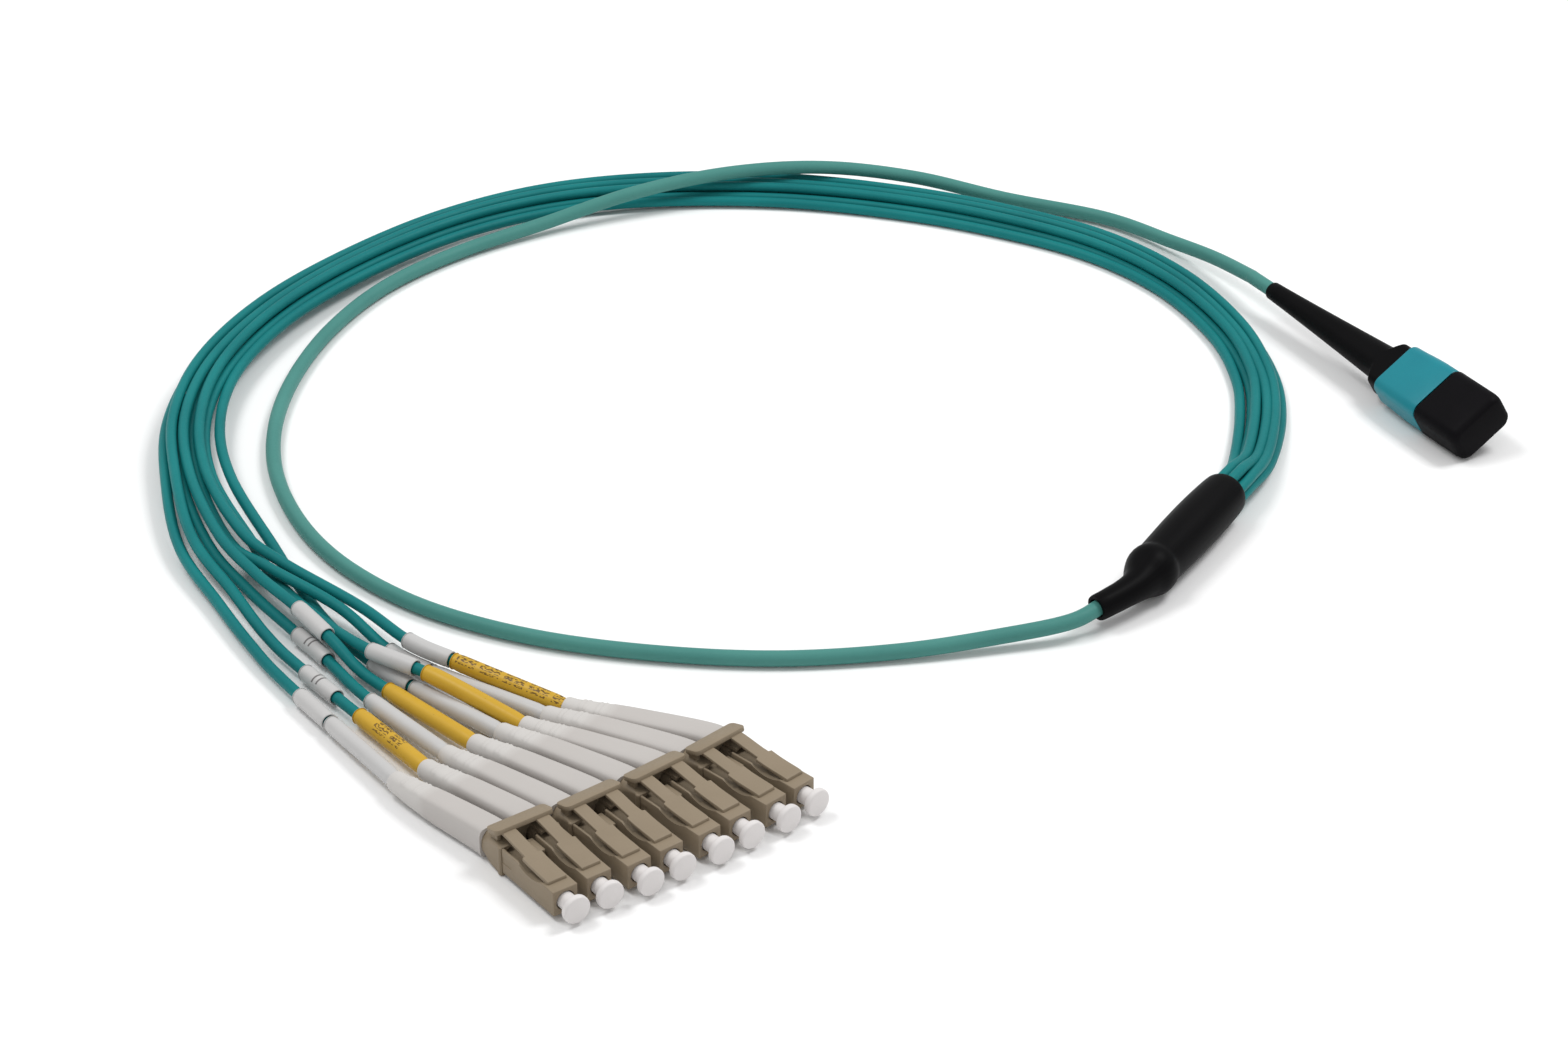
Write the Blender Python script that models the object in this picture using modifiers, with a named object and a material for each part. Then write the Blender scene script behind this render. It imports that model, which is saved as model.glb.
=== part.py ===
"""Fibre breakout cable: one twelve-fibre plug, a trunk, a breakout sleeve and eight legs.

Units are metres, +Z is up and the floor is z = 0. The cable lies in one loose loop.
Each connector is modelled with x forward out of its mouth, y across and z up, and is
then placed on the floor. The cords lie along routes that were chosen by hand.
"""

import math

import bmesh
import bpy
from mathutils import Matrix, Vector

# Clearances
FIT_GAP = 0.0003

# Cords
TRUNK_DIAMETER = 0.0028
LEG_DIAMETER = 0.0020
TRUNK_POINTS = 60
LEG_POINTS = 54
BOOT_POINTS = 8

# Small connector, one to a leg
LEG_COUNT = 8
PAIR_PITCH = 0.00625
BODY_WIDTH = 0.00452
BODY_LENGTH = 0.0144
BODY_EDGE = 0.00022
TAIL_DIAMETER = 0.0033
TAIL_LENGTH = 0.0062
MOUTH_DIAMETER = 0.0033
MOUTH_DEPTH = 0.0065
FERRULE_DIAMETER = 0.00125
FERRULE_REACH = 0.0017

# Latch arm of the small connector
LATCH_FRONT = 0.0023
LATCH_WIDE = 0.0036
LATCH_NARROW = 0.0025
LATCH_STEP = 0.0090
LATCH_END = 0.0159
LATCH_THICKNESS = 0.00062
LATCH_RISE_FRONT = 0.00062
LATCH_RISE_STEP = 0.0009

# Duplex clip, one to two connectors
CLIP_WIDTH = 0.0110
CLIP_FLOOR = 0.00045
CLIP_TOP = 0.0053
CLIP_ROUND = 0.0024
CLIP_ROUND_LENGTH = 0.0024
SPINE_WIDTH = 0.0011
SPINE_LENGTH = 0.0045
TRIGGER_WIDTH = 0.0098
TRIGGER_HEIGHT = 0.0077
TRIGGER_THICKNESS = 0.00085
TRIGGER_DEPTH = 0.0031
TRIGGER_SETBACK = 0.0153
TRIGGER_DROP = 0.0007

# Small dust cap
CAP_TUBE_DIAMETER = 0.0027
CAP_INSERTION = 0.0036
CAP_REACH = 0.0034
CAP_DISC_DIAMETER = 0.0046
CAP_DISC_THICKNESS = 0.0012

# Leg boot and the sleeves on a leg
BOOT_FRONT_DIAMETER = 0.0051
BOOT_REAR_DIAMETER = 0.0037
SLEEVE_DIAMETER = 0.0030
SLEEVE_BORE = 0.0025
LABEL_LENGTHS = (0.0205, 0.0195, 0.0210, 0.0220, 0.0205, 0.0215, 0.0238, 0.0235)
MARKER_LENGTH = 0.0100

# Breakout sleeve
BREAKOUT_LENGTH = 0.0300
BREAKOUT_DIAMETER = 0.0086
BREAKOUT_RING_DIAMETER = 0.0094
BREAKOUT_CONE_LENGTH = 0.0095
BREAKOUT_NECK_DIAMETER = 0.0047
BREAKOUT_NECK_LENGTH = 0.0080
LEG_RING_RADIUS = 0.0025

# Plug of the trunk
PLUG_ROLL = math.radians(25)
BOOT_LENGTH = 0.0394
PLUG_BOOT_TIP_DIAMETER = 0.0036
PLUG_BOOT_ROOT_DIAMETER = 0.0060
FLARE_LENGTH = 0.0049
COLLAR_WIDTH = 0.0103
COLLAR_THICKNESS = 0.0055
COLLAR_CORNER = 0.0013
COLLAR_LENGTH = 0.0020
COUPLING_WIDTH = 0.0124
COUPLING_THICKNESS = 0.0078
COUPLING_REAR_WIDTH = 0.0117
COUPLING_REAR_THICKNESS = 0.0068
COUPLING_LENGTH = 0.0126
COUPLING_TRAVEL = 0.0020
NOSE_WIDTH = 0.0094
NOSE_THICKNESS = 0.0054
NOSE_REACH = 0.0085
NOSE_CORNER = 0.0008
FERRULE_BLOCK_WIDTH = 0.0064
FERRULE_BLOCK_THICKNESS = 0.0025
FERRULE_BLOCK_REACH = 0.0010
PLUG_CAP_WIDTH = 0.0126
PLUG_CAP_THICKNESS = 0.0080
PLUG_CAP_LENGTH = 0.0122
SHELL_CORNER = 0.0021

# Derived sizes of the small connector
BODY_HALF = BODY_WIDTH / 2
AXIS_HEIGHT = CLIP_FLOOR + FIT_GAP + BODY_HALF
BODY_TOP = AXIS_HEIGHT + BODY_HALF
REAR_FACE = BODY_LENGTH + TAIL_LENGTH
TRIGGER_UNDER = TRIGGER_HEIGHT - TRIGGER_THICKNESS
TRIGGER_SLOPE = TRIGGER_DROP / TRIGGER_DEPTH
LATCH_TAIL_TOP = TRIGGER_UNDER - TRIGGER_SLOPE * (LATCH_END - TRIGGER_SETBACK) - FIT_GAP

# The rolled plug lies on the lower edge of its cap
PLUG_AXIS_HEIGHT = (
    SHELL_CORNER
    + (PLUG_CAP_WIDTH / 2 - SHELL_CORNER) * math.sin(PLUG_ROLL)
    + (PLUG_CAP_THICKNESS / 2 - SHELL_CORNER) * math.cos(PLUG_ROLL)
)

# Where things lie, measured from the middle of the loop
STAND_POINT = Vector((0.0352, -0.0206, 0.0))
PAIRS = (
    (-0.0308, -0.1150, -53.3),
    (-0.0198, -0.1079, -51.0),
    (-0.0092, -0.0997, -48.6),
    (0.0010, -0.0912, -45.2),
)
BOOT_TAILS = (
    (-0.0622, -0.0842, 0.0025),
    (-0.0577, -0.0808, 0.0025),
    (-0.0547, -0.0768, 0.0025),
    (-0.0504, -0.0737, 0.0025),
    (-0.0463, -0.0705, 0.0025),
    (-0.0427, -0.0684, 0.0025),
    (-0.0392, -0.0656, 0.0025),
    (-0.0361, -0.0630, 0.0025),
)
BREAKOUT_END = Vector((0.0799, 0.0037, BREAKOUT_RING_DIAMETER / 2))
BREAKOUT_TURN = math.radians(59.5)
NECK_TURN = math.radians(36)
NECK_SLOPE = 0.10
PLUG_TIP = Vector((0.0959, 0.0786, PLUG_AXIS_HEIGHT))
PLUG_TURN = math.radians(-59.5)

# Middle line of the leg bundle, and how far its lowest legs are off the floor
BUNDLE = (
    (0.0862, 0.0180, 0.0012),
    (0.0897, 0.0360, 0.0002),
    (0.0903, 0.0520, 0.0000),
    (0.0870, 0.0700, 0.0000),
    (0.0780, 0.0900, 0.0000),
    (0.0640, 0.1065, 0.0000),
    (0.0450, 0.1185, 0.0000),
    (0.0240, 0.1270, 0.0000),
    (0.0000, 0.1320, 0.0002),
    (-0.0250, 0.1320, 0.0004),
    (-0.0480, 0.1265, 0.0008),
    (-0.0680, 0.1145, 0.0012),
    (-0.0855, 0.0960, 0.0018),
    (-0.0995, 0.0740, 0.0026),
    (-0.1080, 0.0510, 0.0030),
    (-0.1100, 0.0290, 0.0030),
    (-0.1065, 0.0085, 0.0026),
)

# Each leg's place across the bundle, outward, and its height over the lowest legs
LANES = (
    (0.0040, 0.0011),
    (0.0029, 0.0031),
    (0.0018, 0.0011),
    (0.0006, 0.0031),
    (-0.0051, 0.0011),
    (-0.0028, 0.0011),
    (-0.0005, 0.0011),
    (-0.0017, 0.0031),
)

# How much wider than that the legs spread at each point of the middle line
SPREAD = (1.26, 1.06, 1, 1, 1, 1, 1, 1, 1, 1, 1.05, 1.1, 1.1, 1.15, 1.2, 1.3, 1.4)

# From the end of the bundle to the boots, each leg by itself and the last two over the others
FAN = (
    (
        (-0.1064, -0.0130, 0.0026),
        (-0.0976, -0.0300, 0.0020),
        (-0.0904, -0.0432, 0.0018),
        (-0.0828, -0.0552, 0.0017),
    ),
    (
        (-0.1040, -0.0128, 0.0044),
        (-0.0950, -0.0286, 0.0032),
        (-0.0880, -0.0408, 0.0022),
        (-0.0802, -0.0516, 0.0018),
    ),
    (
        (-0.1012, -0.0128, 0.0028),
        (-0.0926, -0.0268, 0.0024),
        (-0.0846, -0.0376, 0.0020),
        (-0.0776, -0.0468, 0.0018),
        (-0.0693, -0.0594, 0.0020),
    ),
    (
        (-0.0994, -0.0126, 0.0052),
        (-0.0914, -0.0256, 0.0052),
        (-0.0836, -0.0358, 0.0052),
        (-0.0764, -0.0457, 0.0047),
        (-0.0714, -0.0517, 0.0027),
        (-0.0663, -0.0570, 0.0021),
    ),
    (
        (-0.0899, -0.0124, 0.0024),
        (-0.0852, -0.0225, 0.0020),
        (-0.0785, -0.0355, 0.0018),
        (-0.0702, -0.0474, 0.0017),
        (-0.0621, -0.0559, 0.0018),
    ),
    (
        (-0.0933, -0.0124, 0.0026),
        (-0.0882, -0.0240, 0.0026),
        (-0.0797, -0.0366, 0.0031),
        (-0.0705, -0.0485, 0.0047),
        (-0.0582, -0.0576, 0.0050),
    ),
    (
        (-0.0975, -0.0126, 0.0034),
        (-0.0896, -0.0233, 0.0050),
        (-0.0761, -0.0350, 0.0042),
        (-0.0671, -0.0446, 0.0019),
        (-0.0588, -0.0519, 0.0019),
    ),
    (
        (-0.0956, -0.0120, 0.0057),
        (-0.0873, -0.0215, 0.0049),
        (-0.0730, -0.0345, 0.0046),
        (-0.0634, -0.0460, 0.0049),
        (-0.0545, -0.0527, 0.0048),
    ),
)

# Where each marker sleeve sits, measured back along the leg from its boot
MARKER_SETBACKS = (0.0210, 0.0265, 0.0360, 0.0392, 0.0212, 0.0240, 0.0242, 0.0239)

TRUNK_ROUTE = (
    (0.0920, 0.0860, 0.0055),
    (0.0862, 0.0965, 0.0040),
    (0.0785, 0.1070, 0.0024),
    (0.0660, 0.1190, 0.0017),
    (0.0465, 0.1295, 0.0018),
    (0.0270, 0.1362, 0.0030),
    (0.0080, 0.1372, 0.0062),
    (-0.0120, 0.1312, 0.0072),
    (-0.0310, 0.1235, 0.0052),
    (-0.0490, 0.1152, 0.0024),
    (-0.0660, 0.1035, 0.0016),
    (-0.0795, 0.0885, 0.0015),
    (-0.0886, 0.0700, 0.0015),
    (-0.0936, 0.0500, 0.0015),
    (-0.0948, 0.0310, 0.0015),
    (-0.0922, 0.0130, 0.0015),
    (-0.0852, -0.0050, 0.0015),
    (-0.0750, -0.0195, 0.0015),
    (-0.0610, -0.0315, 0.0015),
    (-0.0430, -0.0402, 0.0015),
    (-0.0225, -0.0452, 0.0015),
    (-0.0010, -0.0470, 0.0015),
    (0.0200, -0.0450, 0.0017),
    (0.0385, -0.0412, 0.0026),
)


def material(name, colour, roughness, metallic=0.0):
    """A Principled material in linear colour."""
    made = bpy.data.materials.new(name)
    made.use_nodes = True
    shader = made.node_tree.nodes["Principled BSDF"]
    shader.inputs["Base Color"].default_value = (*colour, 1)
    shader.inputs["Roughness"].default_value = roughness
    shader.inputs["Metallic"].default_value = metallic
    return made


def clear_scene():
    for old in list(bpy.data.objects):
        bpy.data.objects.remove(old, do_unlink=True)


def new_collection(name):
    made = bpy.data.collections.new(name)
    bpy.context.scene.collection.children.link(made)
    return made


clear_scene()
PARTS = new_collection("fibre_breakout_cable")
TOOLS = new_collection("shaping_tools")

TEAL = material("teal_jacket", (0.013, 0.238, 0.223), 0.42)
TRUNK_TEAL = material("trunk_jacket", (0.055, 0.270, 0.235), 0.45)
AQUA = material("aqua_housing", (0.010, 0.262, 0.328), 0.35)
BLACK = material("black_plastic", (0.008, 0.008, 0.009), 0.45)
BEIGE = material("beige_housing", (0.310, 0.260, 0.180), 0.50)
WHITE = material("white_boot", (0.600, 0.560, 0.520), 0.55)
CAP_WHITE = material("white_cap", (0.700, 0.660, 0.650), 0.50)
SLEEVE_WHITE = material("white_sleeve", (0.580, 0.550, 0.520), 0.45)
YELLOW = material("yellow_label", (0.610, 0.370, 0.020), 0.45)

HOME = bpy.data.objects.new("fibre_breakout_cable_home", None)
HOME.location = -STAND_POINT
PARTS.objects.link(HOME)


def lying(x, y, turn, height=0.0):
    """The frame of a piece that lies on the floor and points at an angle from +X."""
    return Matrix.Translation((x, y, height)) @ Matrix.Rotation(turn, 4, "Z")


def as_piece(name, mesh, surface, frame=Matrix()):
    """A finished sub-part, which may share its mesh with its copies."""
    if not mesh.materials:
        mesh.materials.append(surface)
    piece = bpy.data.objects.new(name, mesh)
    PARTS.objects.link(piece)
    piece.parent = HOME
    piece.matrix_local = frame
    return piece


def as_tool(mesh, frame=Matrix()):
    """A helper object that is joined to or cut from a piece."""
    tool = bpy.data.objects.new("tool", mesh)
    tool.hide_render = True
    tool.display_type = "WIRE"
    tool.matrix_local = frame
    TOOLS.objects.link(tool)
    return tool


def evaluated_mesh(obj):
    """The object's mesh with its modifiers applied and its loose caps welded."""
    bpy.context.view_layer.update()
    graph = bpy.context.evaluated_depsgraph_get()
    mesh = bpy.data.meshes.new_from_object(obj.evaluated_get(graph))
    work = bmesh.new()
    work.from_mesh(mesh)
    work.transform(obj.matrix_world)
    bmesh.ops.remove_doubles(work, verts=work.verts, dist=1e-6)
    bmesh.ops.recalc_face_normals(work, faces=work.faces)
    work.to_mesh(mesh)
    work.free()
    bpy.data.objects.remove(obj, do_unlink=True)
    return mesh


def combined(base, additions=(), cuts=()):
    """One closed mesh: the base with meshes joined to it, then meshes cut from it."""
    body = as_tool(base)
    helpers = []
    for operation, meshes in (("UNION", additions), ("DIFFERENCE", cuts)):
        for mesh in meshes:
            helper = as_tool(mesh)
            helpers.append(helper)
            step = body.modifiers.new(operation.lower(), "BOOLEAN")
            step.operation = operation
            step.solver = "EXACT"
            step.object = helper
    result = evaluated_mesh(body)
    for helper in helpers:
        bpy.data.objects.remove(helper, do_unlink=True)
    return result


def smooth(mesh, angle=math.radians(35)):
    mesh.shade_smooth()
    mesh.set_sharp_from_angle(angle=angle)
    return mesh


def block(x0, x1, y0, y1, z0, z1, edge=0.0):
    """A box between two corners, with its long edges broken where an edge is given."""
    mesh = bpy.data.meshes.new("block")
    work = bmesh.new()
    bmesh.ops.create_cube(work, size=1.0)
    bmesh.ops.scale(work, vec=(x1 - x0, y1 - y0, z1 - z0), verts=work.verts)
    middle = ((x0 + x1) / 2, (y0 + y1) / 2, (z0 + z1) / 2)
    bmesh.ops.translate(work, vec=middle, verts=work.verts)
    if edge:
        along_x = [e for e in work.edges if abs(e.verts[0].co.x - e.verts[1].co.x) > edge]
        bmesh.ops.bevel(work, geom=along_x, offset=edge, segments=1, affect="EDGES")
    work.to_mesh(mesh)
    work.free()
    return mesh


def rod(x0, x1, diameter, y=0.0, z=0.0, sides=12):
    """A cylinder along x."""
    mesh = bpy.data.meshes.new("rod")
    work = bmesh.new()
    bmesh.ops.create_cone(
        work, cap_ends=True, segments=sides, radius1=diameter / 2, radius2=diameter / 2, depth=x1 - x0
    )
    bmesh.ops.rotate(work, cent=(0, 0, 0), matrix=Matrix.Rotation(math.pi / 2, 3, "Y"), verts=work.verts)
    bmesh.ops.translate(work, vec=((x0 + x1) / 2, y, z), verts=work.verts)
    work.to_mesh(mesh)
    work.free()
    return mesh


def plate(outline, width, y=0.0):
    """A flat outline in x and z, extruded across by its width."""
    curve = bpy.data.curves.new("plate", "CURVE")
    curve.dimensions = "2D"
    curve.fill_mode = "BOTH"
    curve.extrude = width / 2
    line = curve.splines.new("POLY")
    line.points.add(len(outline) - 1)
    for point, (x, z) in zip(line.points, outline):
        point.co = (x, z, 0, 1)
    line.use_cyclic_u = True
    upright = Matrix.Translation((0, y, 0)) @ Matrix.Rotation(math.pi / 2, 4, "X")
    return evaluated_mesh(as_tool(curve, upright))


def turned(profile, sides=16):
    """A shape turned about x. The profile's (x, radius) points run from front to rear."""
    mesh = bpy.data.meshes.new("profile")
    corners = [(radius, 0.0, x) for x, radius in profile]
    mesh.from_pydata(corners, [(n, n + 1) for n in range(len(corners) - 1)], [])
    spun = as_tool(mesh, Matrix.Rotation(math.pi / 2, 4, "Y"))
    screw = spun.modifiers.new("turn", "SCREW")
    screw.steps = sides
    screw.render_steps = sides
    screw.use_merge_vertices = True
    screw.merge_threshold = 1e-6
    return evaluated_mesh(spun)


def rounded_ring(x, width, thickness, corner, steps=3):
    """Points of a rounded rectangle that stands across x."""
    ring = []
    for quarter in range(4):
        right = 1 if quarter in (0, 3) else -1
        upper = 1 if quarter in (0, 1) else -1
        for step in range(steps):
            angle = (quarter + step / (steps - 1)) * math.pi / 2
            y = right * (width / 2 - corner) + corner * math.cos(angle)
            z = upper * (thickness / 2 - corner) + corner * math.sin(angle)
            ring.append((x, y, z))
    return ring


def loft(sections, steps=3):
    """A closed body through rounded rectangles, given as (x, width, thickness, corner)."""
    mesh = bpy.data.meshes.new("loft")
    work = bmesh.new()
    rings = []
    for x, width, thickness, corner in sections:
        rings.append([work.verts.new(p) for p in rounded_ring(x, width, thickness, corner, steps)])
    count = len(rings[0])
    for near, far in zip(rings, rings[1:]):
        for n in range(count):
            after = (n + 1) % count
            work.faces.new((near[n], near[after], far[after], far[n]))
    work.faces.new(rings[0])
    work.faces.new(rings[-1])
    bmesh.ops.recalc_face_normals(work, faces=work.faces)
    work.to_mesh(mesh)
    work.free()
    return mesh


def smooth_line(route, count=0, pieces=24):
    """Evenly spaced points on a smooth curve through a route's own points."""
    route = [Vector(p) for p in route]
    ends = [2 * route[0] - route[1], *route, 2 * route[-1] - route[-2]]
    dense = []
    for a, b, c, d in zip(ends, ends[1:], ends[2:], ends[3:]):
        for step in range(pieces):
            t = step / pieces
            bend = (2 * a - 5 * b + 4 * c - d) * t**2 + (3 * b - a - 3 * c + d) * t**3
            dense.append((2 * b + (c - a) * t + bend) / 2)
    dense.append(route[-1])
    if not count:
        return dense
    return [point_along(dense, n * length_of(dense) / (count - 1)) for n in range(count)]


def length_of(line):
    return sum((b - a).length for a, b in zip(line, line[1:]))


def point_along(line, distance):
    """The point at a distance along a line, from its first point."""
    for a, b in zip(line, line[1:]):
        step = (b - a).length
        if distance <= step:
            return a.lerp(b, distance / step)
        distance -= step
    return line[-1].copy()


def tube_curve(points, diameter, scales=None, caps=True):
    """A round tube along points, with a share of its thickness at each."""
    curve = bpy.data.curves.new("tube", "CURVE")
    curve.dimensions = "3D"
    curve.bevel_depth = diameter / 2
    curve.bevel_resolution = 2
    curve.use_fill_caps = caps
    line = curve.splines.new("POLY")
    line.points.add(len(points) - 1)
    for n, point in enumerate(points):
        line.points[n].co = (*point, 1)
        line.points[n].radius = scales[n] if scales else 1
    return curve


def cord(name, points, diameter, surface):
    """A free cord, kept as a curve."""
    curve = tube_curve(points, diameter)
    curve.materials.append(surface)
    made = bpy.data.objects.new(name, curve)
    PARTS.objects.link(made)
    made.parent = HOME
    return made


def hollow_sleeve(name, points, surface):
    """A thin tube that a leg runs through."""
    skin = as_tool(tube_curve(points, SLEEVE_DIAMETER, caps=False))
    mesh = evaluated_mesh(skin)
    wall = as_tool(mesh)
    shell = wall.modifiers.new("wall", "SOLIDIFY")
    shell.thickness = (SLEEVE_DIAMETER - SLEEVE_BORE) / 2
    shell.offset = -1
    return as_piece(name, smooth(evaluated_mesh(wall)), surface)


def connector_frame(leg):
    """The frame of a leg's connector: its origin is on the floor under the mouth."""
    x, y, turn = PAIRS[leg // 2]
    side = PAIR_PITCH / 2 if leg % 2 else -PAIR_PITCH / 2
    return lying(x, y, math.radians(turn)) @ Matrix.Translation((0, side, 0))


def latch_outline(width_from):
    """The latch arm from the side, from the front lip to where it starts or its rear end."""
    lift = BODY_TOP
    top = [(-LATCH_FRONT, lift + LATCH_RISE_FRONT), (-LATCH_STEP, lift + LATCH_RISE_STEP)]
    if width_from != "wide":
        top.append((-LATCH_END, LATCH_TAIL_TOP))
    under = [(x, z - LATCH_THICKNESS) for x, z in reversed(top[1:])]
    root = [(-LATCH_FRONT - 2 * LATCH_THICKNESS, lift - LATCH_THICKNESS), (-LATCH_FRONT, lift - LATCH_THICKNESS)]
    return top + under + root


def small_connector_mesh():
    """Housing, tail, latch arm and ferrule, moulded and bonded as one piece."""
    housing = block(-BODY_LENGTH, 0, -BODY_HALF, BODY_HALF, BODY_TOP - BODY_WIDTH, BODY_TOP, BODY_EDGE)
    tail = rod(-REAR_FACE, -BODY_LENGTH + FIT_GAP, TAIL_DIAMETER, z=AXIS_HEIGHT)
    wide = plate(latch_outline("wide"), LATCH_WIDE)
    narrow = plate(latch_outline("narrow"), LATCH_NARROW)
    mouth = rod(-MOUTH_DEPTH, FIT_GAP, MOUTH_DIAMETER, z=AXIS_HEIGHT)
    shell = combined(housing, (tail, wide, narrow), (mouth,))
    ferrule = rod(-MOUTH_DEPTH - FIT_GAP, FERRULE_REACH, FERRULE_DIAMETER, z=AXIS_HEIGHT, sides=10)
    return smooth(combined(shell, (ferrule,)), math.radians(25))


def small_cap_mesh():
    """A push-on cap: a tube over the ferrule that is closed by a disc."""
    bore = FERRULE_DIAMETER / 2 + FIT_GAP
    tube = CAP_TUBE_DIAMETER / 2
    disc = CAP_DISC_DIAMETER / 2
    disc_rear = CAP_REACH - CAP_DISC_THICKNESS
    edge = CAP_DISC_THICKNESS / 5
    return smooth(
        turned(
            (
                (CAP_REACH, 0),
                (CAP_REACH, disc - edge),
                (CAP_REACH - edge, disc),
                (disc_rear, disc),
                (disc_rear, tube),
                (-CAP_INSERTION, tube),
                (-CAP_INSERTION, bore),
                (FERRULE_REACH + FIT_GAP, bore),
                (FERRULE_REACH + FIT_GAP, 0),
            ),
            12,
        )
    )


def clip_mesh():
    """A block that grips two connector tails, with a spine between them and a trigger bar."""
    front = -BODY_LENGTH - FIT_GAP
    rear = -REAR_FACE
    body = loft(
        (
            (rear, CLIP_WIDTH, CLIP_TOP, CLIP_ROUND),
            (rear + CLIP_ROUND_LENGTH, CLIP_WIDTH, CLIP_TOP, CLIP_ROUND / 2),
            (front, CLIP_WIDTH, CLIP_TOP, BODY_EDGE),
        ),
        4,
    )
    body.transform(Matrix.Translation((0, 0, CLIP_TOP / 2)))
    spine_top = BODY_TOP - BODY_EDGE
    spine = block(front - FIT_GAP, front + SPINE_LENGTH, -SPINE_WIDTH / 2, SPINE_WIDTH / 2, AXIS_HEIGHT, spine_top)
    edge = TRIGGER_THICKNESS / 3
    bar_rear = -TRIGGER_SETBACK - TRIGGER_DEPTH
    post_rear = bar_rear - edge
    post_front = post_rear + TRIGGER_THICKNESS + edge
    inside = CLIP_TOP - edge
    trigger = plate(
        (
            (-TRIGGER_SETBACK, TRIGGER_UNDER),
            (-TRIGGER_SETBACK, TRIGGER_HEIGHT - edge),
            (-TRIGGER_SETBACK - edge, TRIGGER_HEIGHT),
            (bar_rear, TRIGGER_HEIGHT - TRIGGER_DROP),
            (post_rear, TRIGGER_HEIGHT - TRIGGER_DROP - edge),
            (post_rear, inside),
            (post_front, inside),
            (post_front + edge, TRIGGER_UNDER - TRIGGER_DROP),
        ),
        TRIGGER_WIDTH,
    )
    bore = TAIL_DIAMETER + 2 * FIT_GAP
    channels = [
        rod(rear - FIT_GAP, front + FIT_GAP, bore, y=side * PAIR_PITCH / 2, z=AXIS_HEIGHT) for side in (-1, 1)
    ]
    return smooth(combined(body, (spine, trigger), channels), math.radians(25))


def leg_boot(leg):
    """A tapered boot from its tail, where the leg enters, to the rear of the connector."""
    frame = connector_frame(leg)
    front = frame @ Vector((-REAR_FACE - FIT_GAP, 0, AXIS_HEIGHT))
    forward = frame.to_3x3() @ Vector((1, 0, 0))
    tail = Vector(BOOT_TAILS[leg])
    span = (front - tail).length
    entry = (tail - leg_route(leg)[-2]).normalized()
    points = []
    scales = []
    taper = BOOT_REAR_DIAMETER / BOOT_FRONT_DIAMETER
    for n in range(BOOT_POINTS):
        t = n / (BOOT_POINTS - 1)
        start = tail * (1 - t) ** 2 * (1 + 2 * t) + entry * span * t * (1 - t) ** 2
        end = front * t**2 * (3 - 2 * t) + forward * span * t**2 * (t - 1)
        points.append(start + end)
        scales.append(taper + (1 - taper) * t)
    boot = as_tool(tube_curve(points, BOOT_FRONT_DIAMETER, scales))
    return as_piece(f"lc_boot_{leg + 1}", smooth(evaluated_mesh(boot)), WHITE)


def lane_points(leg):
    """A leg's places along the bundle."""
    across, height = LANES[leg]
    middles = [Vector((x, y, 0)) for x, y, _ in BUNDLE]
    points = []
    for n, middle in enumerate(middles):
        before = middles[max(n - 1, 0)]
        after = middles[min(n + 1, len(middles) - 1)]
        run = (after - before).normalized()
        outward = Vector((run.y, -run.x, 0))
        lift = BUNDLE[n][2] + height
        points.append(middle + outward * across * SPREAD[n] + Vector((0, 0, lift)))
    return points


def breakout_frame():
    x, y, height = BREAKOUT_END
    return lying(x, y, BREAKOUT_TURN, height)


def leg_exit(leg):
    """Where a leg comes out of the breakout sleeve: one in the middle and seven round it."""
    ring = (4, 3, 5, 2, 0, 6, None, 1)[leg]
    y = z = 0.0
    if ring is not None:
        angle = 2 * math.pi * ring / 7
        y = LEG_RING_RADIUS * math.cos(angle)
        z = LEG_RING_RADIUS * math.sin(angle)
    frame = breakout_frame()
    return [frame @ Vector((ahead, y, z)) for ahead in (FIT_GAP, 2 * LEG_DIAMETER)]


def leg_route(leg):
    """A leg's own points, from the breakout sleeve to the tail of its boot."""
    return [*leg_exit(leg), *lane_points(leg), *(Vector(p) for p in FAN[leg]), Vector(BOOT_TAILS[leg])]


def leg_line(leg):
    """The leg's smooth line, cut back so that it ends a gap before the boot."""
    line = smooth_line(leg_route(leg))
    reach = length_of(line) - FIT_GAP
    return [point_along(line, reach * n / (LEG_POINTS - 1)) for n in range(LEG_POINTS)]


def stretch(line, start, end, count):
    """Points of a line between two distances from its last point."""
    total = length_of(line)
    return [point_along(line, total - start + (start - end) * n / (count - 1)) for n in range(count)]


def leg_and_sleeves(leg):
    line = smooth_line(leg_route(leg))
    cord(f"leg_cable_{leg + 1}", leg_line(leg), LEG_DIAMETER, TEAL)
    surface = YELLOW if leg % 2 else SLEEVE_WHITE
    label = stretch(line, LABEL_LENGTHS[leg] + FIT_GAP, FIT_GAP, 6)
    hollow_sleeve(f"label_sleeve_{leg + 1}", label, surface)
    setback = MARKER_SETBACKS[leg] + FIT_GAP
    marker = stretch(line, setback + MARKER_LENGTH, setback, 4)
    hollow_sleeve(f"marker_sleeve_{leg + 1}", marker, SLEEVE_WHITE)


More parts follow.
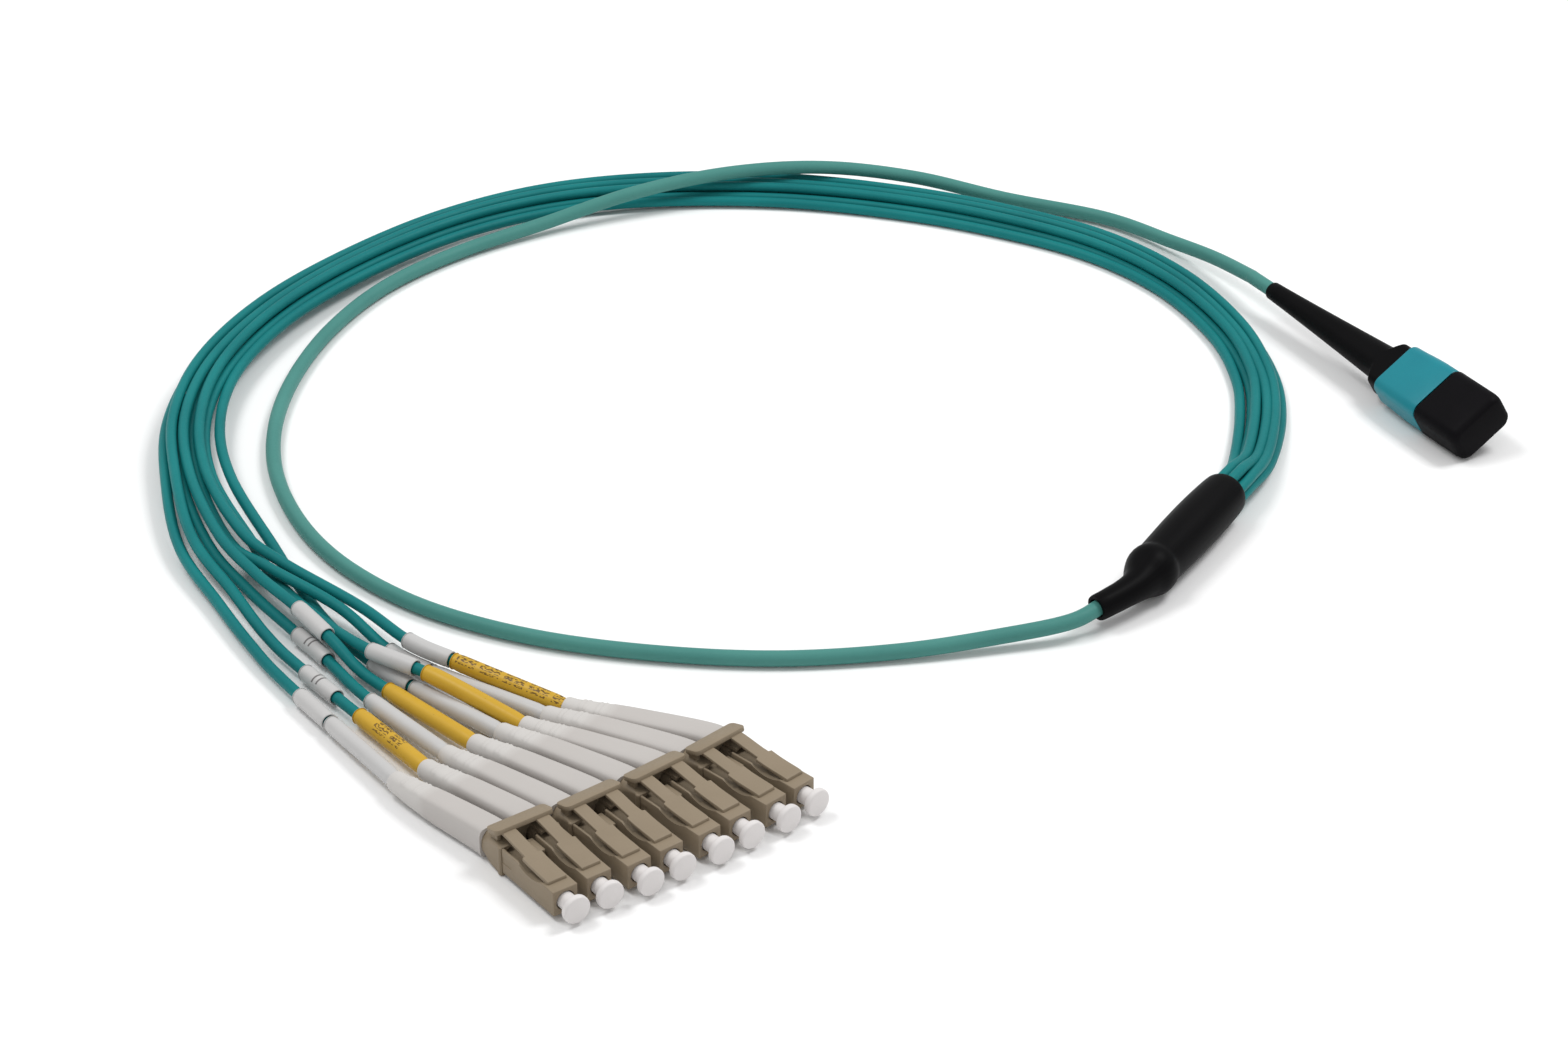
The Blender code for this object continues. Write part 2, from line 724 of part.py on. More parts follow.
def breakout_sleeve():
    """Heat-shrunk body with a stepped ring, a shoulder and a bent neck round the trunk."""
    body = BREAKOUT_DIAMETER / 2
    ring = BREAKOUT_RING_DIAMETER / 2
    neck = BREAKOUT_NECK_DIAMETER / 2
    step = -BREAKOUT_LENGTH
    root = step - BREAKOUT_CONE_LENGTH
    main = turned(
        (
            (0, 0),
            (0, body * 0.80),
            (-body * 0.12, body * 0.93),
            (-body * 0.40, body),
            (step, body),
            (step - (ring - body), ring),
            (step - BREAKOUT_CONE_LENGTH * 0.42, ring * 0.96),
            (step - BREAKOUT_CONE_LENGTH * 0.60, ring * 0.82),
            (root, neck),
            (root, 0),
        )
    )
    main.transform(breakout_frame())
    mouth = neck_mouth()
    inside = breakout_frame() @ Vector((root + neck, 0, 0))
    base = breakout_frame() @ Vector((root, 0, 0))
    bend = tube_curve([mouth, base, inside], BREAKOUT_NECK_DIAMETER * 0.99)
    neck_tube = evaluated_mesh(as_tool(bend))
    as_piece("breakout_sleeve", smooth(combined(main, (neck_tube,))), BLACK)


def neck_direction():
    """Into the neck, a little uphill because the trunk rises from the floor."""
    return Vector((math.cos(NECK_TURN), math.sin(NECK_TURN), NECK_SLOPE)).normalized()


def neck_mouth():
    root = -BREAKOUT_LENGTH - BREAKOUT_CONE_LENGTH
    base = breakout_frame() @ Vector((root, 0, 0))
    return base - neck_direction() * BREAKOUT_NECK_LENGTH


def trunk():
    """The trunk, from the tail of the plug's boot to the neck of the breakout sleeve."""
    ahead = plug_frame().to_3x3() @ Vector((1, 0, 0))
    start = [PLUG_TIP - ahead * back for back in (FIT_GAP, 2 * TRUNK_DIAMETER)]
    end = [neck_mouth() - neck_direction() * back for back in (2 * TRUNK_DIAMETER, FIT_GAP)]
    route = [*start, *(Vector(p) for p in TRUNK_ROUTE), *end]
    cord("trunk_cable", smooth_line(route, TRUNK_POINTS), TRUNK_DIAMETER, TRUNK_TEAL)


def plug_frame():
    """The plug's frame, with its origin at the tail of the boot and x towards the cap."""
    place = lying(PLUG_TIP.x, PLUG_TIP.y, PLUG_TURN, PLUG_TIP.z)
    return place @ Matrix.Rotation(PLUG_ROLL, 4, "X")


def plug_boot():
    """The bend boot, which flares to a straight collar that the coupling sleeve slides over."""
    tip = PLUG_BOOT_TIP_DIAMETER
    root = PLUG_BOOT_ROOT_DIAMETER
    flare = BOOT_LENGTH - FLARE_LENGTH
    straight = BOOT_LENGTH - COUPLING_TRAVEL - FIT_GAP
    mesh = loft(
        (
            (0, tip, tip, tip / 2),
            (flare, root, root, root / 2),
            ((flare + straight) / 2, (root + COLLAR_WIDTH) / 2, root, root / 2),
            (straight, COLLAR_WIDTH, COLLAR_THICKNESS, COLLAR_CORNER),
            (BOOT_LENGTH + COLLAR_LENGTH, COLLAR_WIDTH, COLLAR_THICKNESS, COLLAR_CORNER),
        ),
        4,
    )
    as_piece("mpo_boot", smooth(mesh), BLACK, plug_frame())


def plug_nose():
    """Inner housing with the ferrule block, from the boot to inside the cap."""
    rear = BOOT_LENGTH + COLLAR_LENGTH + FIT_GAP
    front = BOOT_LENGTH + COUPLING_LENGTH + NOSE_REACH
    nose = loft(
        (
            (rear, NOSE_WIDTH, NOSE_THICKNESS, NOSE_CORNER),
            (front - NOSE_CORNER / 2, NOSE_WIDTH, NOSE_THICKNESS, NOSE_CORNER),
            (front, NOSE_WIDTH - NOSE_CORNER, NOSE_THICKNESS - NOSE_CORNER, NOSE_CORNER / 2),
        )
    )
    width = FERRULE_BLOCK_WIDTH / 2
    thickness = FERRULE_BLOCK_THICKNESS / 2
    ferrule = block(front - NOSE_CORNER, front + FERRULE_BLOCK_REACH, -width, width, -thickness, thickness)
    as_piece("mpo_plug", combined(nose, (ferrule,)), BLACK, plug_frame())


def coupling():
    """The sliding sleeve, open at both ends and thinner at its rear."""
    rear = BOOT_LENGTH + FIT_GAP
    front = BOOT_LENGTH + COUPLING_LENGTH
    full = (rear + front) / 2
    edge = FIT_GAP
    wall = (COUPLING_REAR_WIDTH - COLLAR_WIDTH) / 2 - FIT_GAP
    rear_corner = COLLAR_CORNER + wall
    outer = loft(
        (
            (rear, COUPLING_REAR_WIDTH - edge, COUPLING_REAR_THICKNESS - edge, rear_corner),
            (rear + edge, COUPLING_REAR_WIDTH, COUPLING_REAR_THICKNESS, rear_corner),
            (full, COUPLING_WIDTH, COUPLING_THICKNESS, SHELL_CORNER),
            (front - edge, COUPLING_WIDTH, COUPLING_THICKNESS, SHELL_CORNER),
            (front, COUPLING_WIDTH - edge, COUPLING_THICKNESS - edge, SHELL_CORNER),
        ),
        4,
    )
    inner = loft(
        (
            (rear - edge, COLLAR_WIDTH + 2 * FIT_GAP, COLLAR_THICKNESS + 2 * FIT_GAP, COLLAR_CORNER),
            (front + edge, COLLAR_WIDTH + 2 * FIT_GAP, COLLAR_THICKNESS + 2 * FIT_GAP, COLLAR_CORNER),
        ),
        4,
    )
    as_piece("mpo_sleeve", smooth(combined(outer, (), (inner,))), AQUA, plug_frame())


def plug_cap():
    """The plug's dust cap, a box that is open at the rear."""
    rear = BOOT_LENGTH + COUPLING_LENGTH + FIT_GAP
    front = BOOT_LENGTH + COUPLING_LENGTH + PLUG_CAP_LENGTH
    pocket = BOOT_LENGTH + COUPLING_LENGTH + NOSE_REACH + FERRULE_BLOCK_REACH + FIT_GAP
    width = PLUG_CAP_WIDTH
    thickness = PLUG_CAP_THICKNESS
    outer = loft(
        (
            (rear, width, thickness, SHELL_CORNER),
            (front - SHELL_CORNER / 3, width, thickness, SHELL_CORNER),
            (front, width - SHELL_CORNER, thickness - SHELL_CORNER, SHELL_CORNER / 2),
        ),
        4,
    )
    inner = loft(
        (
            (rear - FIT_GAP, NOSE_WIDTH + 2 * FIT_GAP, NOSE_THICKNESS + 2 * FIT_GAP, NOSE_CORNER),
            (pocket, NOSE_WIDTH + 2 * FIT_GAP, NOSE_THICKNESS + 2 * FIT_GAP, NOSE_CORNER),
        )
    )
    as_piece("mpo_dust_cap", smooth(combined(outer, (), (inner,))), BLACK, plug_frame())


def connectors():
    body = small_connector_mesh()
    cap = small_cap_mesh()
    clip = clip_mesh()
    for leg in range(LEG_COUNT):
        frame = connector_frame(leg)
        as_piece(f"lc_body_{leg + 1}", body, BEIGE, frame)
        on_axis = frame @ Matrix.Translation((0, 0, AXIS_HEIGHT))
        as_piece(f"lc_dust_cap_{leg + 1}", cap, CAP_WHITE, on_axis)
    for pair, (x, y, turn) in enumerate(PAIRS):
        as_piece(f"duplex_clip_{pair + 1}", clip, BEIGE, lying(x, y, math.radians(turn)))


connectors()
for leg in range(LEG_COUNT):
    leg_boot(leg)
    leg_and_sleeves(leg)
breakout_sleeve()
trunk()
plug_boot()
plug_nose()
coupling()
plug_cap()
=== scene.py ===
"""A fibre breakout cable lying in one loose loop on a pale table.

Metres throughout, +Z up, floor at z = 0. The cords follow the solids' routes, a few points
of them moved a little. Most pieces are modelled in a plain frame of their own and then set
down in their place.
"""

import math

import bmesh
import bpy
from mathutils import Matrix, Vector


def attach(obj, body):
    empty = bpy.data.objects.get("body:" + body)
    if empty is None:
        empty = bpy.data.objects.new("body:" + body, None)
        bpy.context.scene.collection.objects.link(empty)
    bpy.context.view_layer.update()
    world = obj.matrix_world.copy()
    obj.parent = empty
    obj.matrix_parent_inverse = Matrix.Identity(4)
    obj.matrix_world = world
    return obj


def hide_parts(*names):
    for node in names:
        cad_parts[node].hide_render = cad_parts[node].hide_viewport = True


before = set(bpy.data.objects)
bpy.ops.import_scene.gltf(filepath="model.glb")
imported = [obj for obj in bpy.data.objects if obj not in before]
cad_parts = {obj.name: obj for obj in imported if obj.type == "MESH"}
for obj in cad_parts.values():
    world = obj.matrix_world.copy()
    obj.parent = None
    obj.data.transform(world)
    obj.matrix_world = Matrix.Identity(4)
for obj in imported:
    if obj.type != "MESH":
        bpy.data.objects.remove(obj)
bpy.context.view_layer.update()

MM = 0.001
STRAIGHT_REACH = 0.03
CABLE = "harness"
LEGS = range(8)
HOME = Vector((-0.0352, 0.0206, 0.0))
CAMERA_PLACE = (-0.0352, -0.56356, 0.351)
CAMERA_SLOPE = 31
CAMERA_LENS = 87.24

# Diameters of the cords and of what is threaded on them
TRUNK_DIAMETER = 0.0028
LEG_DIAMETER = 0.0020
SLEEVE_DIAMETER = 0.0030
SLEEVE_BORE = 0.0023
FIT_GAP = 0.0003
CORD_INSERT = 0.0012

# Small plugs, in pairs: place of the pair's middle and the way it points
PAIR_PITCH = 0.00625
PAIRS = (
    (-0.0308, -0.1150, -53.3),
    (-0.0198, -0.1079, -51.0),
    (-0.0092, -0.0997, -48.6),
    (0.0010, -0.0912, -45.2),
)
PLUG_AXIS = 0.00301
PLUG_TOP = 0.00527
PLUG_REAR = 0.0206
PLUG_LENGTH = 0.0144
PLUG_HALF = 0.00226

# Scoop that lowers the housing's top beside the latch arm
LEDGE_MIDDLE = -0.0066
LEDGE_RADIUS = 0.0068
LEDGE_DEPTH = 0.00085

# Boots: where each tail is, how high the front is, the part that flexes and its ribs
BOOT_TAILS = (
    (-0.0622, -0.0842, 0.0025),
    (-0.0577, -0.0808, 0.0025),
    (-0.0547, -0.0768, 0.0025),
    (-0.0504, -0.0737, 0.0025),
    (-0.0463, -0.0705, 0.0025),
    (-0.0427, -0.0684, 0.0025),
    (-0.0392, -0.0656, 0.0025),
    (-0.0361, -0.0630, 0.0025),
)
BOOT_FRONT_HEIGHT = 0.0028
BOOT_TAIL_PART = 0.0085
RIB_PLACES = (0.0034, 0.0042, 0.0064, 0.0072)

# Sleeves on the legs: lengths, kinds of print and places back from the boot's tail
LABEL_LENGTHS = (0.0205, 0.0195, 0.0210, 0.0220, 0.0205, 0.0203, 0.0238, 0.0217)
LABEL_IN_BOOT = 0.0002
YELLOW_KINDS = (2, 0, 0, 1)
MARKER_LENGTH = 0.0100
MARKED_LEGS = (1, 2)
MARKER_SETBACKS = (0.0210, 0.0265, 0.0360, 0.0392, 0.0212, 0.0224, 0.0242, 0.0222)

# Breakout sleeve and wide plug
BREAKOUT_END = Vector((0.0799, 0.0037, 0.0047))
BREAKOUT_TURN = math.radians(59.5)
BREAKOUT_ROOT = 0.0395
NECK_TURN = math.radians(36)
NECK_SLOPE = 0.10
NECK_LENGTH = 0.0080
LEG_RING = (4, 3, 5, 2, 0, 6, None, 1)
LEG_RING_RADIUS = 0.0025
LEG_INSERT = 0.0040
WIDE_TAIL = Vector((0.0959, 0.0786, 0.0059))
WIDE_TURN = math.radians(-59.5)
WIDE_ROLL = math.radians(31)

# Middle line of the leg bundle, with the height of its lowest legs
BUNDLE = (
    (0.0862, 0.0180, 0.0012),
    (0.0897, 0.0360, 0.0002),
    (0.0903, 0.0520, 0.0000),
    (0.0870, 0.0700, 0.0000),
    (0.0780, 0.0900, 0.0000),
    (0.0640, 0.1065, 0.0000),
    (0.0450, 0.1185, 0.0000),
    (0.0240, 0.1270, 0.0000),
    (0.0000, 0.1320, 0.0002),
    (-0.0250, 0.1320, 0.0004),
    (-0.0480, 0.1265, 0.0008),
    (-0.0680, 0.1145, 0.0012),
    (-0.0855, 0.0960, 0.0018),
    (-0.0995, 0.0740, 0.0026),
    (-0.1080, 0.0510, 0.0030),
    (-0.1100, 0.0290, 0.0030),
    (-0.1065, 0.0085, 0.0026),
)
LANES = (
    (0.0040, 0.0011),
    (0.0029, 0.00285),
    (0.0018, 0.0011),
    (0.0006, 0.00285),
    (-0.0051, 0.0011),
    (-0.0028, 0.0011),
    (-0.0005, 0.0011),
    (-0.0017, 0.00285),
)
SPREAD = (
    0.73, 0.80, 0.80, 0.80, 0.80, 0.86, 0.94, 1.02, 1.06,
    1.04, 0.96, 0.92, 0.90, 0.90, 0.93, 1.04, 1.24,
)
WANDER = 0.00022

# From the end of the bundle to the boots
FAN = (
    (
        (-0.1064, -0.0130, 0.0026),
        (-0.0976, -0.0300, 0.0020),
        (-0.0904, -0.0432, 0.0018),
        (-0.0828, -0.0552, 0.0017),
    ),
    (
        (-0.1040, -0.0128, 0.0044),
        (-0.0950, -0.0286, 0.0032),
        (-0.0880, -0.0408, 0.0022),
        (-0.0802, -0.0516, 0.0018),
    ),
    (
        (-0.1012, -0.0128, 0.0028),
        (-0.0926, -0.0268, 0.0024),
        (-0.0846, -0.0376, 0.0020),
        (-0.0776, -0.0468, 0.0018),
        (-0.0693, -0.0594, 0.0020),
    ),
    (
        (-0.0994, -0.0126, 0.0052),
        (-0.0914, -0.0256, 0.0052),
        (-0.0836, -0.0358, 0.0052),
        (-0.0764, -0.0457, 0.0047),
        (-0.0714, -0.0517, 0.0027),
        (-0.0663, -0.0570, 0.0021),
    ),
    (
        (-0.0899, -0.0124, 0.0024),
        (-0.0852, -0.0225, 0.0020),
        (-0.0785, -0.0355, 0.0018),
        (-0.0702, -0.0474, 0.0017),
        (-0.0621, -0.0559, 0.0018),
    ),
    (
        (-0.0933, -0.0124, 0.0026),
        (-0.0882, -0.0240, 0.0026),
        (-0.0797, -0.0366, 0.0031),
        (-0.0705, -0.0485, 0.0047),
        (-0.0582, -0.0576, 0.0050),
    ),
    (
        (-0.0975, -0.0126, 0.0034),
        (-0.0896, -0.0233, 0.0050),
        (-0.0761, -0.0350, 0.0042),
        (-0.0671, -0.0446, 0.0019),
        (-0.0588, -0.0519, 0.0019),
    ),
    (
        (-0.0956, -0.0120, 0.0057),
        (-0.0873, -0.0215, 0.0049),
        (-0.0726, -0.0348, 0.0043),
        (-0.0630, -0.0462, 0.0044),
        (-0.0540, -0.0528, 0.0043),
    ),
)

TRUNK_ROUTE = (
    (0.0920, 0.0860, 0.0055),
    (0.0862, 0.0965, 0.0040),
    (0.0785, 0.1070, 0.0024),
    (0.0660, 0.1190, 0.0017),
    (0.0460, 0.1278, 0.0018),
    (0.0272, 0.1338, 0.0038),
    (0.0078, 0.1344, 0.0058),
    (-0.0118, 0.1304, 0.0064),
    (-0.0310, 0.1235, 0.0052),
    (-0.0490, 0.1152, 0.0024),
    (-0.0660, 0.1035, 0.0016),
    (-0.0795, 0.0885, 0.0015),
    (-0.0886, 0.0700, 0.0015),
    (-0.0936, 0.0500, 0.0015),
    (-0.0948, 0.0310, 0.0015),
    (-0.0922, 0.0130, 0.0015),
    (-0.0852, -0.0050, 0.0015),
    (-0.0750, -0.0195, 0.0015),
    (-0.0610, -0.0315, 0.0015),
    (-0.0430, -0.0402, 0.0015),
    (-0.0225, -0.0452, 0.0015),
    (-0.0010, -0.0470, 0.0015),
    (0.0200, -0.0450, 0.0017),
    (0.0385, -0.0412, 0.0026),
)


# Camera and lamps


def set_camera():
    """The photograph's view: a long lens, looking down on the table."""
    eye = bpy.data.cameras.new("camera")
    eye.sensor_width = 36
    eye.lens = CAMERA_LENS
    camera = bpy.data.objects.new("camera", eye)
    camera.location = CAMERA_PLACE
    camera.rotation_euler = (math.radians(90 - CAMERA_SLOPE), 0, 0)
    bpy.context.scene.collection.objects.link(camera)
    bpy.context.scene.camera = camera


def softbox(name, place, width, strength, target=(0, 0.02, 0)):
    lamp = bpy.data.lights.new(name, "AREA")
    lamp.size = width
    lamp.energy = strength
    holder = bpy.data.objects.new(name, lamp)
    holder.location = place
    holder.rotation_euler = (Vector(target) - Vector(place)).to_track_quat("-Z", "Y").to_euler()
    bpy.context.scene.collection.objects.link(holder)


# Lines


def smooth_line(route, pieces=10):
    """A smooth curve through a route's own points."""
    route = [Vector(p) for p in route]
    ends = [2 * route[0] - route[1], *route, 2 * route[-1] - route[-2]]
    dense = []
    for a, b, c, d in zip(ends, ends[1:], ends[2:], ends[3:]):
        for step in range(pieces):
            t = step / pieces
            bend = (2 * a - 5 * b + 4 * c - d) * t**2 + (3 * b - a - 3 * c + d) * t**3
            dense.append((2 * b + (c - a) * t + bend) / 2)
    dense.append(route[-1])
    return dense


def length_of(line):
    return sum((b - a).length for a, b in zip(line, line[1:]))


class Path:
    """A line with a frame that turns along it without twisting."""

    def __init__(self, points):
        self.points = [Vector(p) for p in points]
        self.at = [0.0]
        for a, b in zip(self.points, self.points[1:]):
            self.at.append(self.at[-1] + (b - a).length)
        runs = []
        for n in range(len(self.points)):
            before = self.points[max(n - 1, 0)]
            after = self.points[min(n + 1, len(self.points) - 1)]
            runs.append((after - before).normalized())
        up = Vector((0, 0, 1))
        self.ups = []
        for run in runs:
            up = (up - run * up.dot(run)).normalized()
            self.ups.append(up)
        self.runs = runs
        self.length = self.at[-1]

    def frame(self, distance):
        """Centre, direction, side and up at a distance, which may lie past either end."""
        n = 0
        while n < len(self.at) - 2 and distance > self.at[n + 1]:
            n += 1
        share = (distance - self.at[n]) / (self.at[n + 1] - self.at[n])
        centre = self.points[n].lerp(self.points[n + 1], share)
        share = min(max(share, 0.0), 1.0)
        run = self.runs[n].lerp(self.runs[n + 1], share).normalized()
        up = self.ups[n].lerp(self.ups[n + 1], share)
        up = (up - run * up.dot(run)).normalized()
        return centre, run, up.cross(run), up


def set_down(points):
    """Points of the loop's frame moved to where the cable stands."""
    return [Vector(p) + HOME for p in points]


# Meshes


def finished_mesh(name, work, smooth_angle=40):
    bmesh.ops.recalc_face_normals(work, faces=work.faces)
    mesh = bpy.data.meshes.new(name)
    work.to_mesh(mesh)
    work.free()
    mesh.shade_smooth()
    mesh.set_sharp_from_angle(angle=math.radians(smooth_angle))
    return mesh


def ring_faces(work, rings, joined, heights):
    """Skin over rings of vertices, with how far round and how far along kept as UVs."""
    layer = work.loops.layers.uv.verify()
    pairs = list(zip(range(len(rings)), range(1, len(rings))))
    if joined:
        pairs.append((len(rings) - 1, 0))
    for i, j in pairs:
        near, far = rings[i], rings[j]
        count = max(len(near), len(far))
        for k in range(count):
            after = (k + 1) % count
            corners = [(near, k, k, i), (near, after, k + 1, i), (far, after, k + 1, j), (far, k, k, j)]
            if len(near) == 1:
                corners = corners[1:]
            if len(far) == 1:
                corners = corners[:3]
            verts = [ring[at % len(ring)] for ring, at, _, _ in corners]
            face = work.faces.new(verts)
            for loop, (_, _, turn, level) in zip(face.loops, corners):
                loop[layer].uv = (turn / count, heights[level])


def swept(name, path, outline, sides=24, form=None, smooth_angle=40):
    """A skin round a path, from (distance along, radius) pairs. A zero radius closes an end.

    An outline that ends where it starts is a tube with a wall. form(distance, angle) gives
    what is added to the radius there.
    """
    joined = outline[0] == outline[-1]
    if joined:
        outline = outline[:-1]
    work = bmesh.new()
    rings = []
    for distance, radius in outline:
        centre, _, side, up = path.frame(distance)
        if radius == 0:
            rings.append([work.verts.new(centre)])
            continue
        ring = []
        for k in range(sides):
            angle = 2 * math.pi * k / sides
            reach = radius + (form(distance, angle) if form else 0.0)
            ring.append(work.verts.new(centre + (side * math.cos(angle) + up * math.sin(angle)) * reach))
        rings.append(ring)
    ring_faces(work, rings, joined, [distance for distance, _ in outline])
    return finished_mesh(name, work, smooth_angle)


def lofted(name, sections, joined=False, steps=6, smooth_angle=40):
    """A skin through rounded rectangles (x, width, thickness, corner) or (..., y, z) across x."""
    work = bmesh.new()
    rings = []
    for x, width, thickness, corner, *middle in sections:
        y0, z0 = middle or (0.0, 0.0)
        ring = []
        for quarter in range(4):
            right = 1 if quarter in (0, 3) else -1
            upper = 1 if quarter in (0, 1) else -1
            for step in range(steps):
                angle = (quarter + step / (steps - 1)) * math.pi / 2
                y = y0 + right * (width / 2 - corner) + corner * math.cos(angle)
                z = z0 + upper * (thickness / 2 - corner) + corner * math.sin(angle)
                ring.append(work.verts.new((x, y, z)))
        rings.append(ring)
    ring_faces(work, rings, joined, [section[0] for section in sections])
    if not joined:
        work.faces.new(rings[0])
        work.faces.new(rings[-1])
    return finished_mesh(name, work, smooth_angle)


def bevelled_block(name, low, high, edge, segments=3):
    """A box between two corners with all its edges rounded."""
    work = bmesh.new()
    bmesh.ops.create_cube(work, size=1.0)
    low, high = Vector(low), Vector(high)
    bmesh.ops.scale(work, vec=high - low, verts=work.verts)
    bmesh.ops.translate(work, vec=(low + high) / 2, verts=work.verts)
    rounding = {"offset": edge, "segments": segments, "profile": 0.5, "affect": "EDGES"}
    bmesh.ops.bevel(work, geom=work.edges[:], **rounding)
    return finished_mesh(name, work)


def slab(name, outline, z_low, z_high, edge, segments=3):
    """A flat outline in x and y given a thickness, with rounded edges."""
    work = bmesh.new()
    bottom = [work.verts.new((x, y, z_low)) for x, y in outline]
    work.faces.new(bottom)
    raised = bmesh.ops.extrude_face_region(work, geom=work.faces[:])
    top = [part for part in raised["geom"] if isinstance(part, bmesh.types.BMVert)]
    bmesh.ops.translate(work, vec=(0, 0, z_high - z_low), verts=top)
    middle = (z_low + z_high) / 2
    caps = [face for face in work.faces if len(face.verts) == len(outline)]
    if not any(face.calc_center_median().z < middle for face in caps):
        work.faces.new(bottom)
    bmesh.ops.recalc_face_normals(work, faces=work.faces)
    rims = [e for e in work.edges if abs(e.verts[0].co.z - e.verts[1].co.z) < edge / 10]
    bmesh.ops.bevel(work, geom=rims, offset=edge, segments=segments, profile=0.5, affect="EDGES")
    return finished_mesh(name, work)


def helper(mesh):
    made = bpy.data.objects.new(mesh.name, mesh)
    bpy.context.scene.collection.objects.link(made)
    return made


def shaped(name, base, additions=(), cuts=(), smooth_angle=35):
    """One body: the base with meshes joined to it and meshes cut from it."""
    body = helper(base)
    others = []
    for operation, meshes in (("UNION", additions), ("DIFFERENCE", cuts)):
        for mesh in meshes:
            other = helper(mesh)
            others.append(other)
            step = body.modifiers.new(operation.lower(), "BOOLEAN")
            step.operation = operation
            step.solver = "EXACT"
            step.object = other
    bpy.context.view_layer.update()
    graph = bpy.context.evaluated_depsgraph_get()
    mesh = bpy.data.meshes.new_from_object(body.evaluated_get(graph))
    for used in (body, *others):
        bpy.data.objects.remove(used, do_unlink=True)
    mesh.name = name
    mesh.shade_smooth()
    mesh.set_sharp_from_angle(angle=math.radians(smooth_angle))
    return mesh


def rounded_end(start, inward, radius, edge, steps=4):
    """(distance, radius) pairs that round the rim of a tube. inward is 1 or -1 along it."""
    return [
        (
            start + inward * edge * (1 - math.sin(math.pi / 2 * n / steps)),
            radius - edge * (1 - math.cos(math.pi / 2 * n / steps)),
        )
        for n in reversed(range(steps + 1))
    ]


# Finishes


class Field:
    """A value that varies over a surface. Arithmetic on it adds the nodes that work it out."""

    def __init__(self, finish, socket):
        self.finish = finish
        self.socket = socket

    def worked(self, operation, first, second=0.0):
        return self.finish.node("ShaderNodeMath", {"operation": operation}, {0: first, 1: second})

    def __add__(self, other):
        return self.worked("ADD", self, other)

    def __sub__(self, other):
        return self.worked("SUBTRACT", self, other)

    def __rsub__(self, other):
        return self.worked("SUBTRACT", other, self)

    def __mul__(self, other):
        return self.worked("MULTIPLY", self, other)

    def __gt__(self, other):
        return self.worked("GREATER_THAN", self, other)

    def __lt__(self, other):
        return self.worked("LESS_THAN", self, other)

    __radd__ = __add__
    __rmul__ = __mul__

    def part(self):
        return self.worked("FRACT", self)


class Finish:
    """A material that is built up from nodes."""

    def __init__(self, name):
        self.material = bpy.data.materials.new(name)
        self.material.use_nodes = True
        self.tree = self.material.node_tree
        self.tree.nodes.clear()

    def node(self, kind, settings=None, inputs=None, output=0):
        made = self.tree.nodes.new(kind)
        for key, value in (settings or {}).items():
            if key == "stops":
                ramp = made.color_ramp.elements
                while len(ramp) < len(value):
                    ramp.new(0.5)
                for stop, (position, level) in zip(ramp, value):
                    stop.position = position
                    stop.color = (level, level, level, 1)
            else:
                setattr(made, key, value)
        for key, value in (inputs or {}).items():
            if isinstance(value, Field):
                self.tree.links.new(value.socket, made.inputs[key])
            else:
                made.inputs[key].default_value = value
        return Field(self, made.outputs[output])

    def place(self):
        """Position on the piece, in metres."""
        return self.node("ShaderNodeTexCoord", output="Object")

    def around_and_along(self):
        """How far round the piece, from 0 to 1, and how far along it in metres."""
        uv = self.node("ShaderNodeTexCoord", output="UV")
        split = self.node("ShaderNodeSeparateXYZ", inputs={0: uv})
        return split, Field(self, split.socket.node.outputs[1])

    def noise(self, scale, detail=2.0, where=None):
        where = where or self.place()
        return self.node("ShaderNodeTexNoise", None, {"Vector": where, "Scale": scale, "Detail": detail})

    def ramp(self, value, *stops):
        return self.node("ShaderNodeValToRGB", {"stops": stops}, {0: value})

    def mixed(self, share, first, second):
        """A colour between two colours."""
        inputs = {0: share}
        for index, colour in ((6, first), (7, second)):
            inputs[index] = colour if isinstance(colour, Field) else (*colour, 1)
        return self.node("ShaderNodeMix", {"data_type": "RGBA"}, inputs, output=2)

    def shaded(self, colour, roughness, relief=None, depth=0.00002, strength=0.5, **fixed):
        """The surface itself. fixed holds what is the same all over, by socket name."""
        inputs = {"Base Color": colour, "Roughness": roughness}
        inputs.update({key.replace("_", " "): value for key, value in fixed.items()})
        if relief is not None:
            bump = {"Height": relief, "Distance": depth, "Strength": strength}
            inputs["Normal"] = self.node("ShaderNodeBump", None, bump)
        shader = self.node("ShaderNodeBsdfPrincipled", None, inputs)
        end = self.tree.nodes.new("ShaderNodeOutputMaterial")
        self.tree.links.new(shader.socket, end.inputs["Surface"])
        return self.material


def jacket(name, colour, shade):
    """Cable jacket: extruded plastic with a soft sheen, faint clouding and a fine skin."""
    finish = Finish(name)
    clouds = finish.ramp(finish.noise(38, 3.0), (0.35, 0.0), (0.68, 1.0))
    skin = finish.noise(1500, 3.0)
    tone = finish.mixed(clouds * 0.6 + skin * 0.3, colour, shade)
    return finish.shaded(tone, skin * 0.16 + 0.40, skin, 0.00002, 0.35, Specular_IOR_Level=0.12)


def moulded(name, colour, shade, roughness, grain=2200, depth=0.000015, **fixed):
    """Moulded plastic: a fine spark-eroded grain over faint clouding."""
    finish = Finish(name)
    clouds = finish.ramp(finish.noise(140, 3.0), (0.30, 0.0), (0.75, 1.0))
    speck = finish.noise(grain, 4.0)
    tone = finish.mixed(clouds * 0.55 + speck * 0.35, colour, shade)
    return finish.shaded(tone, speck * 0.2 + (roughness - 0.1), speck, depth, 0.5, **fixed)


